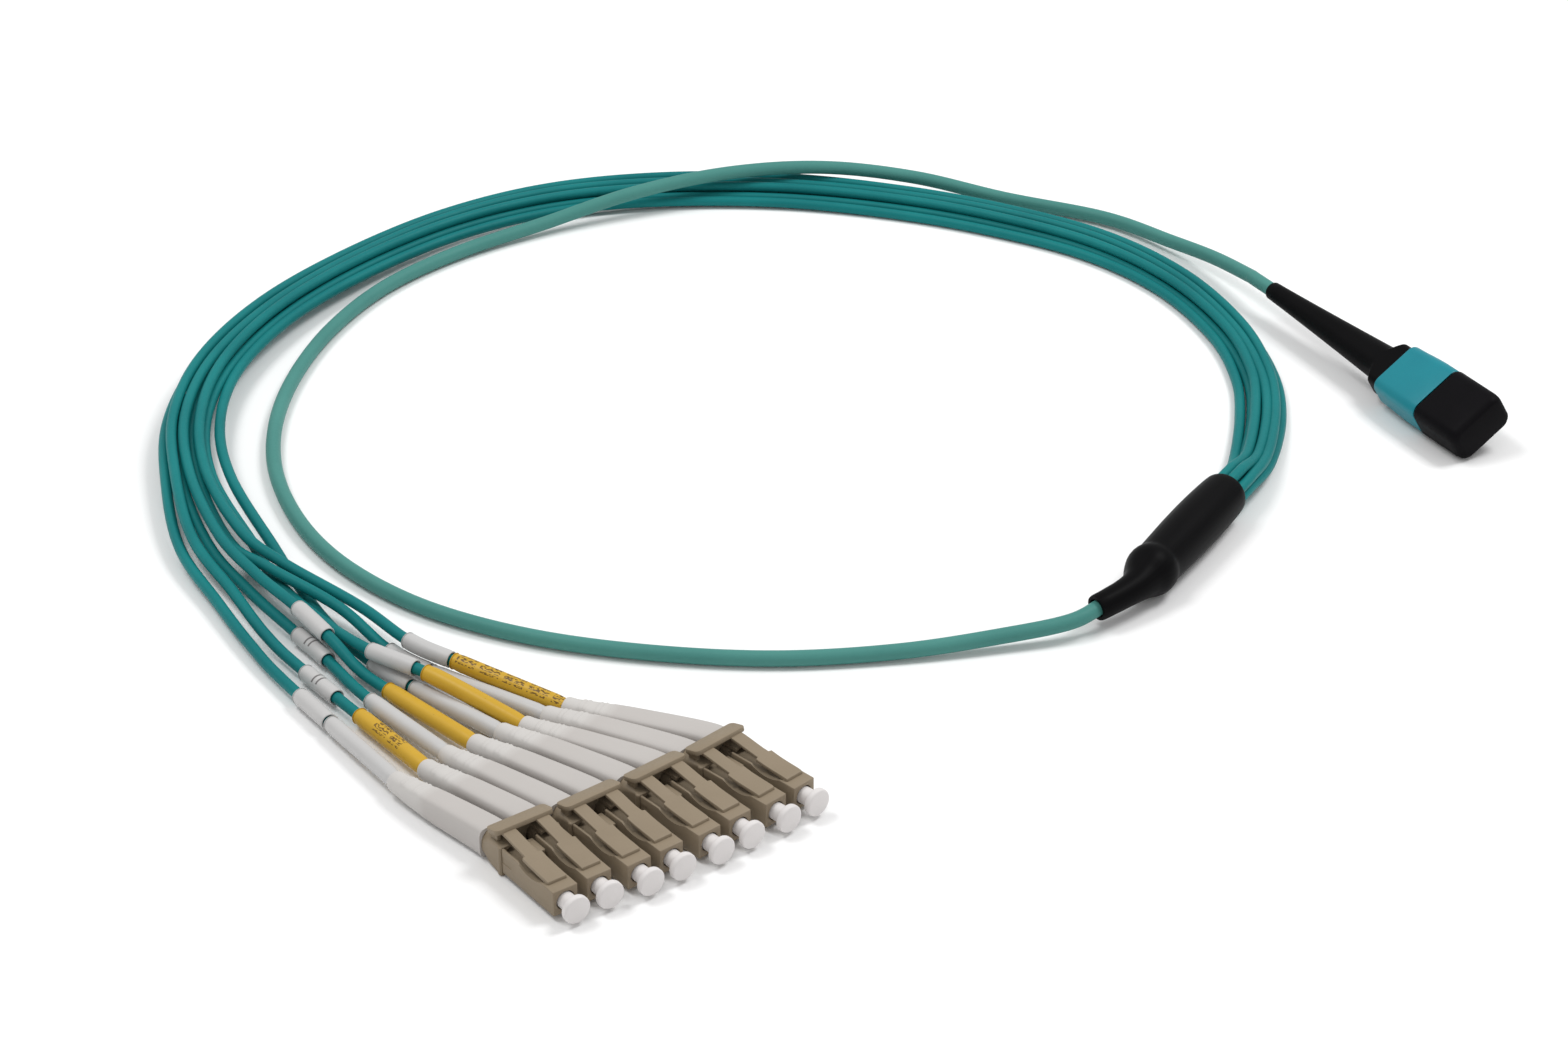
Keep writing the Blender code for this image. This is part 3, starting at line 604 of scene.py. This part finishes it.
def shrunk_tube(name, colour, shade):
    """Heat-shrunk tube: satin, with faint drawn lines along it."""
    finish = Finish(name)
    around, along = finish.around_and_along()
    streak_place = finish.node("ShaderNodeCombineXYZ", None, {0: around * 60, 1: along * 90})
    streaks = finish.noise(1.0, 3.0, streak_place)
    skin = finish.noise(900, 3.0)
    tone = finish.mixed(streaks, colour, shade)
    relief = streaks * 0.6 + skin * 0.4
    return finish.shaded(tone, streaks * 0.18 + 0.34, relief, 0.00005, 0.5, Specular_IOR_Level=0.035)


def boot_rubber(name, colour, shade):
    """Soft white boot: whiter and duller over its flexing tail, smoother towards the plug."""
    finish = Finish(name)
    _, along = finish.around_and_along()
    front = finish.ramp(along * 40, (0.30, 0.0), (0.40, 1.0))
    clouds = finish.noise(120, 3.0)
    skin = finish.noise(1800, 3.0)
    tone = finish.mixed(front * 0.75 + clouds * 0.25, colour, shade)
    rough = 0.55 - front * 0.08 + skin * 0.08
    return finish.shaded(tone, rough, skin, 0.000015, 0.4, Specular_IOR_Level=0.3)


def printed_tube(name, colour, shade, ink, rows=None, rings=()):
    """Sleeve on a leg. rows is (start, end, sparseness) of unreadable printed blocks along it, in
    metres, and rings are short printed strokes as (place, width, from, to round the sleeve)."""
    finish = Finish(name)
    around, along = finish.around_and_along()
    clouds = finish.noise(160, 3.0)
    skin = finish.noise(1300, 2.0)
    tone = finish.mixed(clouds * 0.6 + skin * 0.25, colour, shade)
    if rows:
        start, end, level = rows
        spot_place = finish.node("ShaderNodeCombineXYZ", None, {0: around * 34, 1: along * 1500})
        spots = finish.ramp(finish.noise(1.0, 1.5, spot_place), (level, 0.0), (level + 0.05, 1.0))
        inside = (along > start) * (along < end) * (around > 0.13) * (around < 0.40)
        line_gap = (around * 9).part() > 0.24
        word_gap = (along * 210).part() > 0.18
        tone = finish.mixed(inside * spots * line_gap * word_gap * 0.9, tone, ink)
    for place, width, low, high in rings:
        stroke = (along > place) * (along < place + width) * (around > low) * (around < high)
        tone = finish.mixed(stroke * 0.85, tone, ink)
    return finish.shaded(tone, skin * 0.14 + 0.36, skin, 0.000015, 0.4, Specular_IOR_Level=0.3)


def table_top():
    finish = Finish("pale_table")
    grain = finish.noise(12, 2.0)
    tone = finish.mixed(grain, (0.93, 0.93, 0.93), (0.90, 0.90, 0.90))
    return finish.shaded(tone, grain * 0.1 + 0.6, None, Specular_IOR_Level=0.2)


TEAL = jacket("teal_jacket", (0.008, 0.205, 0.206), (0.004, 0.132, 0.140))
TRUNK_TEAL = jacket("trunk_jacket", (0.078, 0.262, 0.232), (0.056, 0.208, 0.186))
AQUA = moulded(
    "aqua_housing", (0.008, 0.232, 0.282), (0.006, 0.190, 0.240), 0.38, Specular_IOR_Level=0.25
)
BLACK = moulded(
    "black_plastic", (0.0028, 0.0028, 0.0030), (0.0048, 0.0046, 0.0052), 0.46, 1500,
    Specular_IOR_Level=0.04,
)
CAP_BLACK = moulded(
    "cap_plastic", (0.0034, 0.0032, 0.0038), (0.0062, 0.0056, 0.0068), 0.50, 1300,
    Specular_IOR_Level=0.04,
)
SHRINK_BLACK = shrunk_tube("shrunk_black", (0.0026, 0.0026, 0.0029), (0.0050, 0.0048, 0.0053))
BEIGE = moulded(
    "beige_housing", (0.270, 0.214, 0.148), (0.232, 0.183, 0.124), 0.50, Specular_IOR_Level=0.3
)
WHITE = boot_rubber("white_boot", (0.575, 0.556, 0.534), (0.472, 0.445, 0.424))
CAP_WHITE = moulded("white_cap", (0.71, 0.68, 0.67), (0.66, 0.63, 0.62), 0.48, Specular_IOR_Level=0.3)
CERAMIC = moulded("ferrule_ceramic", (0.80, 0.79, 0.76), (0.74, 0.73, 0.70), 0.22)
INK = (0.085, 0.042, 0.010)
GREY_INK = (0.10, 0.09, 0.09)
SLEEVE_WHITE = ((0.54, 0.535, 0.53), (0.47, 0.462, 0.455), GREY_INK)
SLEEVE_YELLOW = ((0.60, 0.365, 0.028), (0.51, 0.300, 0.021), INK)
MARK_RINGS = ((0.0040, 0.0004, 0.10, 0.42), (0.0052, 0.0004, 0.12, 0.40))
PLAIN_WHITE = printed_tube("white_sleeve_plain", *SLEEVE_WHITE)
MARKED_WHITE = printed_tube("white_sleeve_marked", *SLEEVE_WHITE, rings=MARK_RINGS)
YELLOWS = [
    printed_tube(f"yellow_sleeve_{name}", *SLEEVE_YELLOW, rows=rows)
    for name, rows in (
        ("plain", (0.002, 0.019, 0.70)),
        ("printed", (0.001, 0.0225, 0.47)),
        ("part", (0.0055, 0.0135, 0.47)),
    )
]


# Pieces


def piece(name, mesh, surface, body, nodes=(), place=None):
    """A mesh as a finished piece on a body. Its place goes into the mesh."""
    if place is not None:
        mesh = mesh.copy()
        mesh.transform(place)
    mesh.materials.clear()
    mesh.materials.append(surface)
    made = bpy.data.objects.new(name, mesh)
    bpy.context.scene.collection.objects.link(made)
    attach(made, body)
    if nodes:
        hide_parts(*nodes)
    return made


def lying(x, y, turn, height=0.0):
    return Matrix.Translation((x, y, height)) @ Matrix.Rotation(turn, 4, "Z")


TO_HOME = Matrix.Translation(HOME)


def breakout_frame():
    x, y, height = BREAKOUT_END
    return lying(x, y, BREAKOUT_TURN, height)


def neck_direction():
    return Vector((math.cos(NECK_TURN), math.sin(NECK_TURN), NECK_SLOPE)).normalized()


def neck_mouth():
    return breakout_frame() @ Vector((-BREAKOUT_ROOT, 0, 0)) - neck_direction() * NECK_LENGTH


def wide_frame():
    return lying(WIDE_TAIL.x, WIDE_TAIL.y, WIDE_TURN, WIDE_TAIL.z) @ Matrix.Rotation(WIDE_ROLL, 4, "X")


def plug_frame(leg):
    x, y, turn = PAIRS[leg // 2]
    side = PAIR_PITCH / 2 if leg % 2 else -PAIR_PITCH / 2
    return lying(x, y, math.radians(turn)) @ Matrix.Translation((0, side, 0))


def leg_route(leg):
    """A leg's own points, from inside the breakout sleeve to the tail of its boot."""
    ring = LEG_RING[leg]
    y = z = 0.0
    if ring is not None:
        angle = 2 * math.pi * ring / 7
        y = LEG_RING_RADIUS * math.cos(angle)
        z = LEG_RING_RADIUS * math.sin(angle)
    ends = (-LEG_INSERT, 2 * LEG_DIAMETER)
    route = [breakout_frame() @ Vector((ahead, y, z)) for ahead in ends]
    across, height = LANES[leg]
    middles = [Vector((x, y, 0)) for x, y, _ in BUNDLE]
    for n, middle in enumerate(middles):
        before = middles[max(n - 1, 0)]
        after = middles[min(n + 1, len(middles) - 1)]
        run = (after - before).normalized()
        outward = Vector((run.y, -run.x, 0))
        stray = WANDER * math.sin(1.3 * n + 2.4 * leg)
        raised = Vector((0, 0, BUNDLE[n][2] + height))
        route.append(middle + outward * (across * SPREAD[n] + stray) + raised)
    route.extend(Vector(p) for p in FAN[leg])
    route.append(Vector(BOOT_TAILS[leg]))
    return route


def free_cord(name, points, diameter, surface, node):
    """A free cord as a curve. Its length is worked out but not kept."""
    curve = bpy.data.curves.new(name, "CURVE")
    curve.dimensions = "3D"
    curve.bevel_depth = diameter / 2
    curve.bevel_resolution = 5
    curve.use_fill_caps = True
    line = curve.splines.new("POLY")
    line.points.add(len(points) - 1)
    for point, where in zip(line.points, points):
        point.co = (*where, 1)
    line.use_smooth = True
    curve.materials.append(surface)
    made = bpy.data.objects.new(name, curve)
    bpy.context.scene.collection.objects.link(made)
    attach(made, CABLE)
    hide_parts(node)
    length_of(points)


def sleeve_on_leg(name, line, start, length, surface, node):
    """A thin tube threaded on a leg, from a distance back along it, with rounded rims."""
    path = Path(line)
    outer = SLEEVE_DIAMETER / 2
    bore = SLEEVE_BORE / 2
    first = path.length - start - length
    last = path.length - start
    edge = 0.00018
    body = [(first + length * n / 12, outer) for n in range(1, 12)]
    outline = [
        (first + edge, bore),
        *reversed([(d, r) for d, r in rounded_end(first, 1, outer, edge)]),
        *body,
        *rounded_end(last, -1, outer, edge),
        (last - edge, bore),
        (first + edge, bore),
    ]
    mesh = swept(name, path, outline, 20)
    layer = mesh.uv_layers[0].data
    for corner in layer:
        corner.uv[1] -= first
    return piece(name, mesh, surface, CABLE, (node,))


def boot_line(leg):
    """The boot's middle line, from its tail to just inside the clip."""
    place = plug_frame(leg)
    front = place @ Vector((-PLUG_REAR + 0.0004, 0, BOOT_FRONT_HEIGHT))
    forward = place.to_3x3() @ Vector((1, 0, 0))
    tail = Vector(BOOT_TAILS[leg])
    span = (front - tail).length
    entry = (tail - leg_route(leg)[-2]).normalized()
    points = []
    for n in range(33):
        t = n / 32
        start = tail * (1 - t) ** 2 * (1 + 2 * t) + entry * span * 0.6 * t * (1 - t) ** 2
        end = front * t**2 * (3 - 2 * t) + forward * span * 0.35 * t**2 * (t - 1)
        points.append(start + end)
    return points


def boot_mesh(leg):
    """A boot that is round at its ribbed tail and nearly square where it meets the clip."""
    path = Path(set_down(boot_line(leg)))
    total = path.length

    def half_size(distance):
        tail_share = min(distance / BOOT_TAIL_PART, 1)
        front_share = max(distance - BOOT_TAIL_PART, 0) / (total - BOOT_TAIL_PART)
        step = 0.00006 if distance > BOOT_TAIL_PART else 0
        return 0.00180 + 0.00032 * tail_share + 0.00048 * front_share + step

    def form(distance, angle):
        """What makes the section square, and the pairs of ribs across the tail's top."""
        share = min(max((distance - 0.002) / 0.010, 0), 1)
        power = 2 + 3.2 * share
        squared = (abs(math.cos(angle)) ** power + abs(math.sin(angle)) ** power) ** (-1 / power) - 1
        rib = 0.0
        for place in RIB_PLACES:
            if abs(distance - place) < 0.00017 and abs(angle - math.pi / 2) < 0.75:
                rib = 0.00014
        return half_size(min(distance, total)) * squared + rib

    outline = [
        (0.0016, 0.0), (0.0016, 0.00118), (0.0002, 0.00118),
        (0.0, 0.0014), (0.0001, 0.00166), (0.0004, 0.00178),
    ]
    steps = 96
    for n in range(1, steps + 1):
        distance = 0.0007 + (total - 0.0007) * n / steps
        outline.append((distance, half_size(distance)))
    outline.append((total, 0.0))
    return swept(f"leg_boot_{leg + 1}", path, outline, 36, form)


def dress_legs():
    for leg in LEGS:
        number = leg + 1
        line = set_down(smooth_line(leg_route(leg)))
        label_finish, label_slot = PLAIN_WHITE, "white_sleeve"
        if leg % 2:
            label_finish, label_slot = YELLOWS[YELLOW_KINDS[leg // 2]], "yellow_label"
        label = sleeve_on_leg(
            f"label_tube_{number}", line, -LABEL_IN_BOOT, LABEL_LENGTHS[leg] + 0.0005,
            label_finish, f"label_sleeve_{number}",
        )
        marker = sleeve_on_leg(
            f"marker_tube_{number}", line, MARKER_SETBACKS[leg] + FIT_GAP, MARKER_LENGTH,
            MARKED_WHITE if leg in MARKED_LEGS else PLAIN_WHITE, f"marker_sleeve_{number}",
        )
        last_run = (line[-1] - line[-2]).normalized()
        into_boot = line + [Vector(BOOT_TAILS[leg]) + HOME + last_run * CORD_INSERT]
        free_cord(
            f"leg_cord_{number}", into_boot, LEG_DIAMETER, TEAL,
            f"leg_cable_{number}",
        )
        boot = boot_mesh(leg)
        piece(f"leg_boot_{number}", boot, WHITE, CABLE, (f"lc_boot_{number}",))


def dress_trunk():
    ahead = wide_frame().to_3x3() @ Vector((1, 0, 0))
    start = [WIDE_TAIL - ahead * back for back in (-CORD_INSERT, 2 * TRUNK_DIAMETER)]
    end = [neck_mouth() - neck_direction() * back for back in (2 * TRUNK_DIAMETER, -CORD_INSERT)]
    route = [*start, *(Vector(p) for p in TRUNK_ROUTE), *end]
    line = set_down(smooth_line(route))
    free_cord("trunk_cord", line, TRUNK_DIAMETER, TRUNK_TEAL, "trunk_cable")


def straight(height=0.0, side=0.0):
    """A path along x, at a height and a distance to one side."""
    return Path([(x, side, height) for x in (-STRAIGHT_REACH, 0, STRAIGHT_REACH)])


def along_x(outline):
    """(x, radius) pairs as distances along the straight path."""
    return [(x + STRAIGHT_REACH, radius) for x, radius in outline]


def latch_arm():
    """The springy arm: a wide plate with locking shoulders, then narrow and rising clear."""
    rows = (
        (-0.0021, 3.26, 5.50, 0.50),
        (-0.0022, 3.40, 5.74, 0.74),
        (-0.0025, 3.48, 5.84, 0.84),
        (-0.0032, 3.50, 5.90, 0.86),
        (-0.0040, 3.50, 5.93, 0.70),
        (-0.0055, 3.50, 5.98, 0.62),
        (-0.0072, 3.52, 6.08, 0.60),
        (-0.0084, 3.54, 6.22, 0.60),
        (-0.0091, 3.54, 6.33, 0.64),
        (-0.0093, 2.46, 6.34, 0.60),
        (-0.0105, 2.40, 6.46, 0.58),
        (-0.0120, 2.40, 6.66, 0.58),
        (-0.0135, 2.40, 6.88, 0.58),
        (-0.0148, 2.40, 7.04, 0.58),
        (-0.0160, 2.36, 7.08, 0.56),
    )
    sections = []
    for x, width, top, thickness in rows:
        middle = (top - thickness / 2) * MM
        sections.append((x, width * MM, thickness * MM, 0.12 * MM, 0.0, middle))
    return lofted("latch_arm", sections, steps=4, smooth_angle=30)


def small_plug_mesh():
    """Square housing with a round mouth, side walls along its top and the latch arm."""
    low = PLUG_TOP - 2 * PLUG_HALF
    housing = bevelled_block("housing", (-PLUG_LENGTH, -PLUG_HALF, low), (0, PLUG_HALF, PLUG_TOP), 0.00020)
    joint = -PLUG_LENGTH + 0.0006
    barrel = [(-PLUG_REAR, 0), (-PLUG_REAR, 0.00165), (joint, 0.00165), (joint, 0)]
    tail = swept("tail", straight(PLUG_AXIS), along_x(barrel), 20)
    mouth_line = [
        (0.0006, 0), (0.0006, 0.0018), (0.0, 0.00170),
        (-0.00015, 0.00162), (-0.0065, 0.00162), (-0.0065, 0),
    ]
    mouth = swept("mouth", straight(PLUG_AXIS), along_x(mouth_line), 28)
    side, above = 0.00192, PLUG_TOP + 0.002
    channels = [
        bevelled_block("channel", (rear, -side, floor), (front, side, above), 0.00008, 1)
        for rear, front, floor in ((-0.0077, -0.0031, 0.00478), (-0.0160, -0.0075, 0.00380))
    ]
    side_grooves = []
    for s in (-1, 1):
        back = (-0.0158, s * PLUG_HALF - 0.0001, PLUG_AXIS - 0.0003)
        ahead = (-0.0118, s * PLUG_HALF + 0.0001, PLUG_AXIS + 0.0009)
        side_grooves.append(bevelled_block("groove", back, ahead, 0.00003, 1))
    high = PLUG_TOP + LEDGE_RADIUS - LEDGE_DEPTH
    scoop = swept(
        "scoop",
        Path([(LEDGE_MIDDLE, -0.003, high), (LEDGE_MIDDLE, 0.003, high)]),
        [(0, 0), (0, LEDGE_RADIUS), (0.006, LEDGE_RADIUS), (0.006, 0)],
        64,
    )
    body = shaped("small_housing", housing, (tail,), (mouth, *channels, *side_grooves, scoop))
    return shaped("small_plug", body, (latch_arm(),))


def ferrule_mesh():
    outline = [(-0.0068, 0), (-0.0068, 0.000625), (0.0014, 0.000625), (0.0017, 0.00048), (0.0017, 0)]
    return swept("ferrule", straight(PLUG_AXIS), along_x(outline), 20)


def small_cap_mesh():
    """Push-on cap: a tube that ends in a flat disc with a soft rim."""
    outline = [
        (0.00340, 0),
        (0.00340, 0.00205),
        (0.00335, 0.00222),
        (0.00322, 0.00232),
        (0.00305, 0.00236),
        (0.00250, 0.00236),
        (0.00232, 0.00230),
        (0.00222, 0.00215),
        (0.00214, 0.00175),
        (0.00200, 0.00152),
        (0.00170, 0.00145),
        (0.00030, 0.00145),
        (-0.0034, 0.00140),
        (-0.0036, 0.00130),
        (-0.0036, 0.00092),
        (0.0020, 0.00092),
        (0.0020, 0),
    ]
    return swept("small_cap", straight(), along_x(outline), 32)


def lozenge(x0, x1, half, corner, steps=6):
    """A rectangle in x and y with rounded corners."""
    points = []
    for quarter in range(4):
        ahead = 1 if quarter in (0, 3) else -1
        left = 1 if quarter in (0, 1) else -1
        for step in range(steps):
            angle = (quarter + step / (steps - 1)) * math.pi / 2
            x = (x0 + x1) / 2 + ahead * ((x1 - x0) / 2 - corner) + corner * math.cos(angle)
            points.append((x, left * (half - corner) + corner * math.sin(angle)))
    return points


def holder_mesh():
    """Duplex clip: a grip round two tails, a spine between the plugs and a trigger bar."""
    front, rear = -0.01442, -PLUG_REAR
    width, height = 0.0110, 0.0053
    body = lofted(
        "grip",
        (
            (rear, width - 0.0006, height - 0.0006, 0.0022, 0, height / 2),
            (rear + 0.0002, width - 0.0001, height - 0.0001, 0.0024, 0, height / 2),
            (rear + 0.0012, width, height, 0.0021, 0, height / 2),
            (rear + 0.0026, width, height, 0.0011, 0, height / 2),
            (front - 0.00100, width, height, 0.00035, 0, height / 2),
            (front - 0.00080, width + 0.00032, height, 0.0003, 0, height / 2),
            (front - 0.00050, width + 0.00046, height, 0.0003, 0, height / 2),
            (front - 0.00020, width + 0.00032, height, 0.0003, 0, height / 2),
            (front, width - 0.0001, height - 0.0001, 0.0003, 0, height / 2),
        ),
        smooth_angle=30,
    )
    spine = bevelled_block(
        "spine", (front - 0.0004, -0.00060, PLUG_AXIS), (front + 0.0034, 0.00060, 0.0046), 0.00012, 2
    )
    bar = slab("bar", lozenge(-0.00345, 0.0, 0.0054, 0.00085), 0, 0.00085, 0.00014, 2)
    tilt = Matrix.Rotation(math.radians(-15), 4, "Y")
    bar.transform(Matrix.Translation((-0.0154, 0, 0.00690)) @ tilt)
    post = bevelled_block(
        "post", (-0.01900, -0.0044, height - 0.0004), (-0.01790, 0.0044, 0.0068), 0.0002, 2
    )
    ribs = []
    bores = []
    cut = along_x([(rear - 0.001, 0), (rear - 0.001, 0.00195), (front + 0.001, 0.00195), (front + 0.001, 0)])
    for s in (-1, 1):
        back = (-0.0183, s * 0.0044 - 0.0004, height - 0.0003)
        ahead = (-0.0164, s * 0.0044 + 0.0004, 0.0067)
        ribs.append(bevelled_block("rib", back, ahead, 0.00015, 2))
        bores.append(swept("bore", straight(PLUG_AXIS, s * PAIR_PITCH / 2), cut, 28))
    pocket = bevelled_block(
        "pocket", (-0.0176, -0.0021, height - 0.0034), (front + 0.001, 0.0021, height + 0.001), 0.00015, 1
    )
    grip = shaped("grip", body, (), (*bores, pocket), 30)
    return shaped("duplex_holder", grip, (spine, bar, post, *ribs), (), 30)


def dress_small_plugs():
    plug = small_plug_mesh()
    cap = small_cap_mesh()
    ferrule = ferrule_mesh()
    for leg in LEGS:
        number = leg + 1
        place = TO_HOME @ plug_frame(leg)
        piece(f"small_plug_{number}", plug, BEIGE, CABLE, (f"lc_body_{number}",), place)
        piece(f"ferrule_{number}", ferrule, CERAMIC, CABLE, place=place)
        on_axis = place @ Matrix.Translation((0, 0, PLUG_AXIS))
        node = (f"lc_dust_cap_{number}",)
        piece(f"small_cap_{number}", cap, CAP_WHITE, f"lc_cap_{number}", node, on_axis)
    holder = holder_mesh()
    for pair, (x, y, turn) in enumerate(PAIRS):
        place = TO_HOME @ lying(x, y, math.radians(turn))
        node = (f"duplex_clip_{pair + 1}",)
        piece(f"duplex_holder_{pair + 1}", holder, BEIGE, CABLE, node, place)


def dress_breakout():
    """Shrunk body with a bulging ring, a shoulder and a bent neck, in one skin."""
    place = breakout_frame()
    base = place @ Vector((-BREAKOUT_ROOT, 0, 0))
    mouth = neck_mouth()
    bend = base.lerp(mouth, 0.45)
    route = [place @ Vector((-back, 0, 0)) for back in (0, 0.010, 0.020, 0.030, 0.0345)]
    line = smooth_line([*route, base.lerp(place @ Vector((-0.037, 0, 0)), 0.6), bend, mouth], 8)
    path = Path(set_down(line))
    total = path.length
    outline = [
        (0.0026, 0),
        (0.0026, 0.00325),
        (0.0019, 0.00345),
        (0.0017, 0.00375),
        (0.0018, 0.00405),
        (0.0023, 0.00425),
    ]
    for n in range(1, 25):
        distance = 0.0023 + 0.0269 * n / 24
        swell = math.sin(math.pi * (n / 24) ** 0.85)
        outline.append((distance, 0.00428 + 0.00036 * swell + 0.00004 * n / 24))
    outline += [
        (0.0297, 0.00434),
        (0.0303, 0.00450),
        (0.0309, 0.00464),
        (0.0316, 0.00470),
        (0.0324, 0.00466),
        (0.0332, 0.00450),
        (0.0340, 0.00424),
        (0.0350, 0.00384),
        (0.0361, 0.00340),
        (0.0373, 0.00302),
        (0.0387, 0.00274),
        (0.0403, 0.00258),
        (0.0422, 0.00248),
        (total - 0.0020, 0.00240),
        (total - 0.0004, 0.00237),
        (total, 0.00226),
        (total, 0.00172),
        (total - 0.0010, 0.00160),
        (total - 0.0010, 0),
    ]
    mesh = swept("breakout_body", path, outline, 40)
    piece("breakout_body", mesh, SHRINK_BLACK, CABLE, ("breakout_sleeve",))


def dress_wide_plug():
    place = TO_HOME @ wide_frame()
    root = 0.0036
    cone_end, shoulder, boot_end = 0.0350, 0.0022, 0.0394
    cone = (0.0074, 0.0058, 0.00288)
    collar = (0.0103, 0.0055, 0.0013)
    sections = [(0.0, 0.0034, 0.0034, 0.0017), (0.0002, root, root, root / 2)]
    for n in range(1, 15):
        wide = root + (cone[0] - root) * (n / 14) ** 1.15
        thick = root + (cone[1] - root) * n / 14
        sections.append((cone_end * n / 14, wide, thick, thick / 2 - 0.00002))
    for n in range(1, 8):
        t = n / 7
        ease = t * t * (3 - 2 * t)
        wide, thick, corner = (a + (b - a) * ease for a, b in zip(cone, collar))
        sections.append((cone_end + shoulder * t, wide, thick, min(corner, thick / 2 - 0.00002)))
    sections.append((boot_end + 0.0020, *collar))
    boot = lofted("wide_boot", sections, steps=8)
    piece("wide_boot", boot, BLACK, CABLE, ("mpo_boot",), place)

    front = boot_end + 0.0126
    nose = lofted(
        "wide_nose",
        (
            (boot_end + 0.0023, 0.0094, 0.0054, 0.0008),
            (front + 0.0079, 0.0094, 0.0054, 0.0008),
            (front + 0.0083, 0.0092, 0.0052, 0.0007),
            (front + 0.0085, 0.0086, 0.0046, 0.0005),
        ),
    )
    key = bevelled_block(
        "key", (front + 0.001, -0.0012, 0.0026), (front + 0.0079, 0.0012, 0.00296), 0.0001, 2
    )
    pins = []
    for s in (-1, 1):
        path = Path([(front + 0.006, s * 0.0023, 0), (front + 0.0110, s * 0.0023, 0)])
        pins.append(swept("pin_hole", path, [(0, 0), (0, 0.00035), (0.005, 0.00035), (0.005, 0)], 16))
    block = bevelled_block(
        "ferrule_block", (front + 0.0077, -0.0032, -0.00125), (front + 0.0095, 0.0032, 0.00125), 0.00012, 2
    )
    nose = shaped("wide_nose", nose, (key, block), pins)
    piece("wide_nose", nose, BLACK, CABLE, ("mpo_plug",), place)

    rear = boot_end + FIT_GAP
    bore = (collar[0] + 2 * FIT_GAP, collar[1] + 2 * FIT_GAP, collar[2])
    edge = 0.00030
    grip = lofted(
        "wide_grip",
        (
            (rear + edge, *bore),
            (rear, 0.0115, 0.0066, 0.0018),
            (rear + edge * 0.4, 0.01164, 0.00674, 0.0019),
            (rear + edge, 0.0117, 0.0068, 0.0019),
            (rear + 0.0030, 0.0119, 0.0071, 0.0020),
            (rear + 0.0062, 0.01225, 0.0076, 0.0021),
            (rear + 0.0085, 0.0124, 0.0078, 0.0021),
            (front - edge, 0.0124, 0.0078, 0.0021),
            (front - edge * 0.4, 0.01235, 0.00775, 0.0021),
            (front, 0.0122, 0.0076, 0.0020),
            (front - edge, *bore),
        ),
        joined=True,
        steps=8,
    )
    piece("wide_grip", grip, AQUA, "mpo_coupling", ("mpo_sleeve",), place)

    rear = front + FIT_GAP
    end = front + 0.0122
    pocket = (0.0100, 0.0060, 0.0008)
    cap = lofted(
        "wide_cap",
        (
            (rear + 0.0095, 0.0001, 0.0001, 0.00004),
            (rear + 0.0095, *pocket),
            (rear + 0.0002, *pocket),
            (rear, 0.0102, 0.0062, 0.0009),
            (rear, 0.0122, 0.0076, 0.0020),
            (rear + 0.0001, 0.0125, 0.0079, 0.0021),
            (rear + 0.0003, 0.0126, 0.0080, 0.0021),
            (end - 0.0022, 0.0126, 0.0080, 0.0021),
            (end - 0.0012, 0.0124, 0.0078, 0.0021),
            (end - 0.0005, 0.0119, 0.0073, 0.0020),
            (end - 0.0001, 0.0111, 0.0065, 0.0017),
            (end, 0.0102, 0.0056, 0.0014),
        ),
        steps=8,
        smooth_angle=50,
    )
    piece("wide_cap", cap, CAP_BLACK, "mpo_cap", ("mpo_dust_cap",), place)


def lay_table():
    work = bmesh.new()
    bmesh.ops.create_grid(work, x_segments=2, y_segments=2, size=3)
    top = bpy.data.objects.new("table_top", finished_mesh("table_top", work))
    top.location.z = -0.00005
    top.data.materials.append(table_top())
    bpy.context.scene.collection.objects.link(top)


def light_table():
    world = bpy.data.worlds.new("studio")
    world.use_nodes = True
    background = world.node_tree.nodes["Background"].inputs
    background["Color"].default_value = (1, 1, 1, 1)
    background["Strength"].default_value = 0.60
    bpy.context.scene.world = world
    softbox("key_light", (0.62, 0.25, 1.05), 0.42, 7.0)
    softbox("fill_light", (-0.55, 0.10, 1.10), 0.42, 4.9)
    bpy.context.scene.view_settings.view_transform = "Standard"


set_camera()
dress_legs()
dress_trunk()
dress_small_plugs()
dress_breakout()
dress_wide_plug()
lay_table()
light_table()
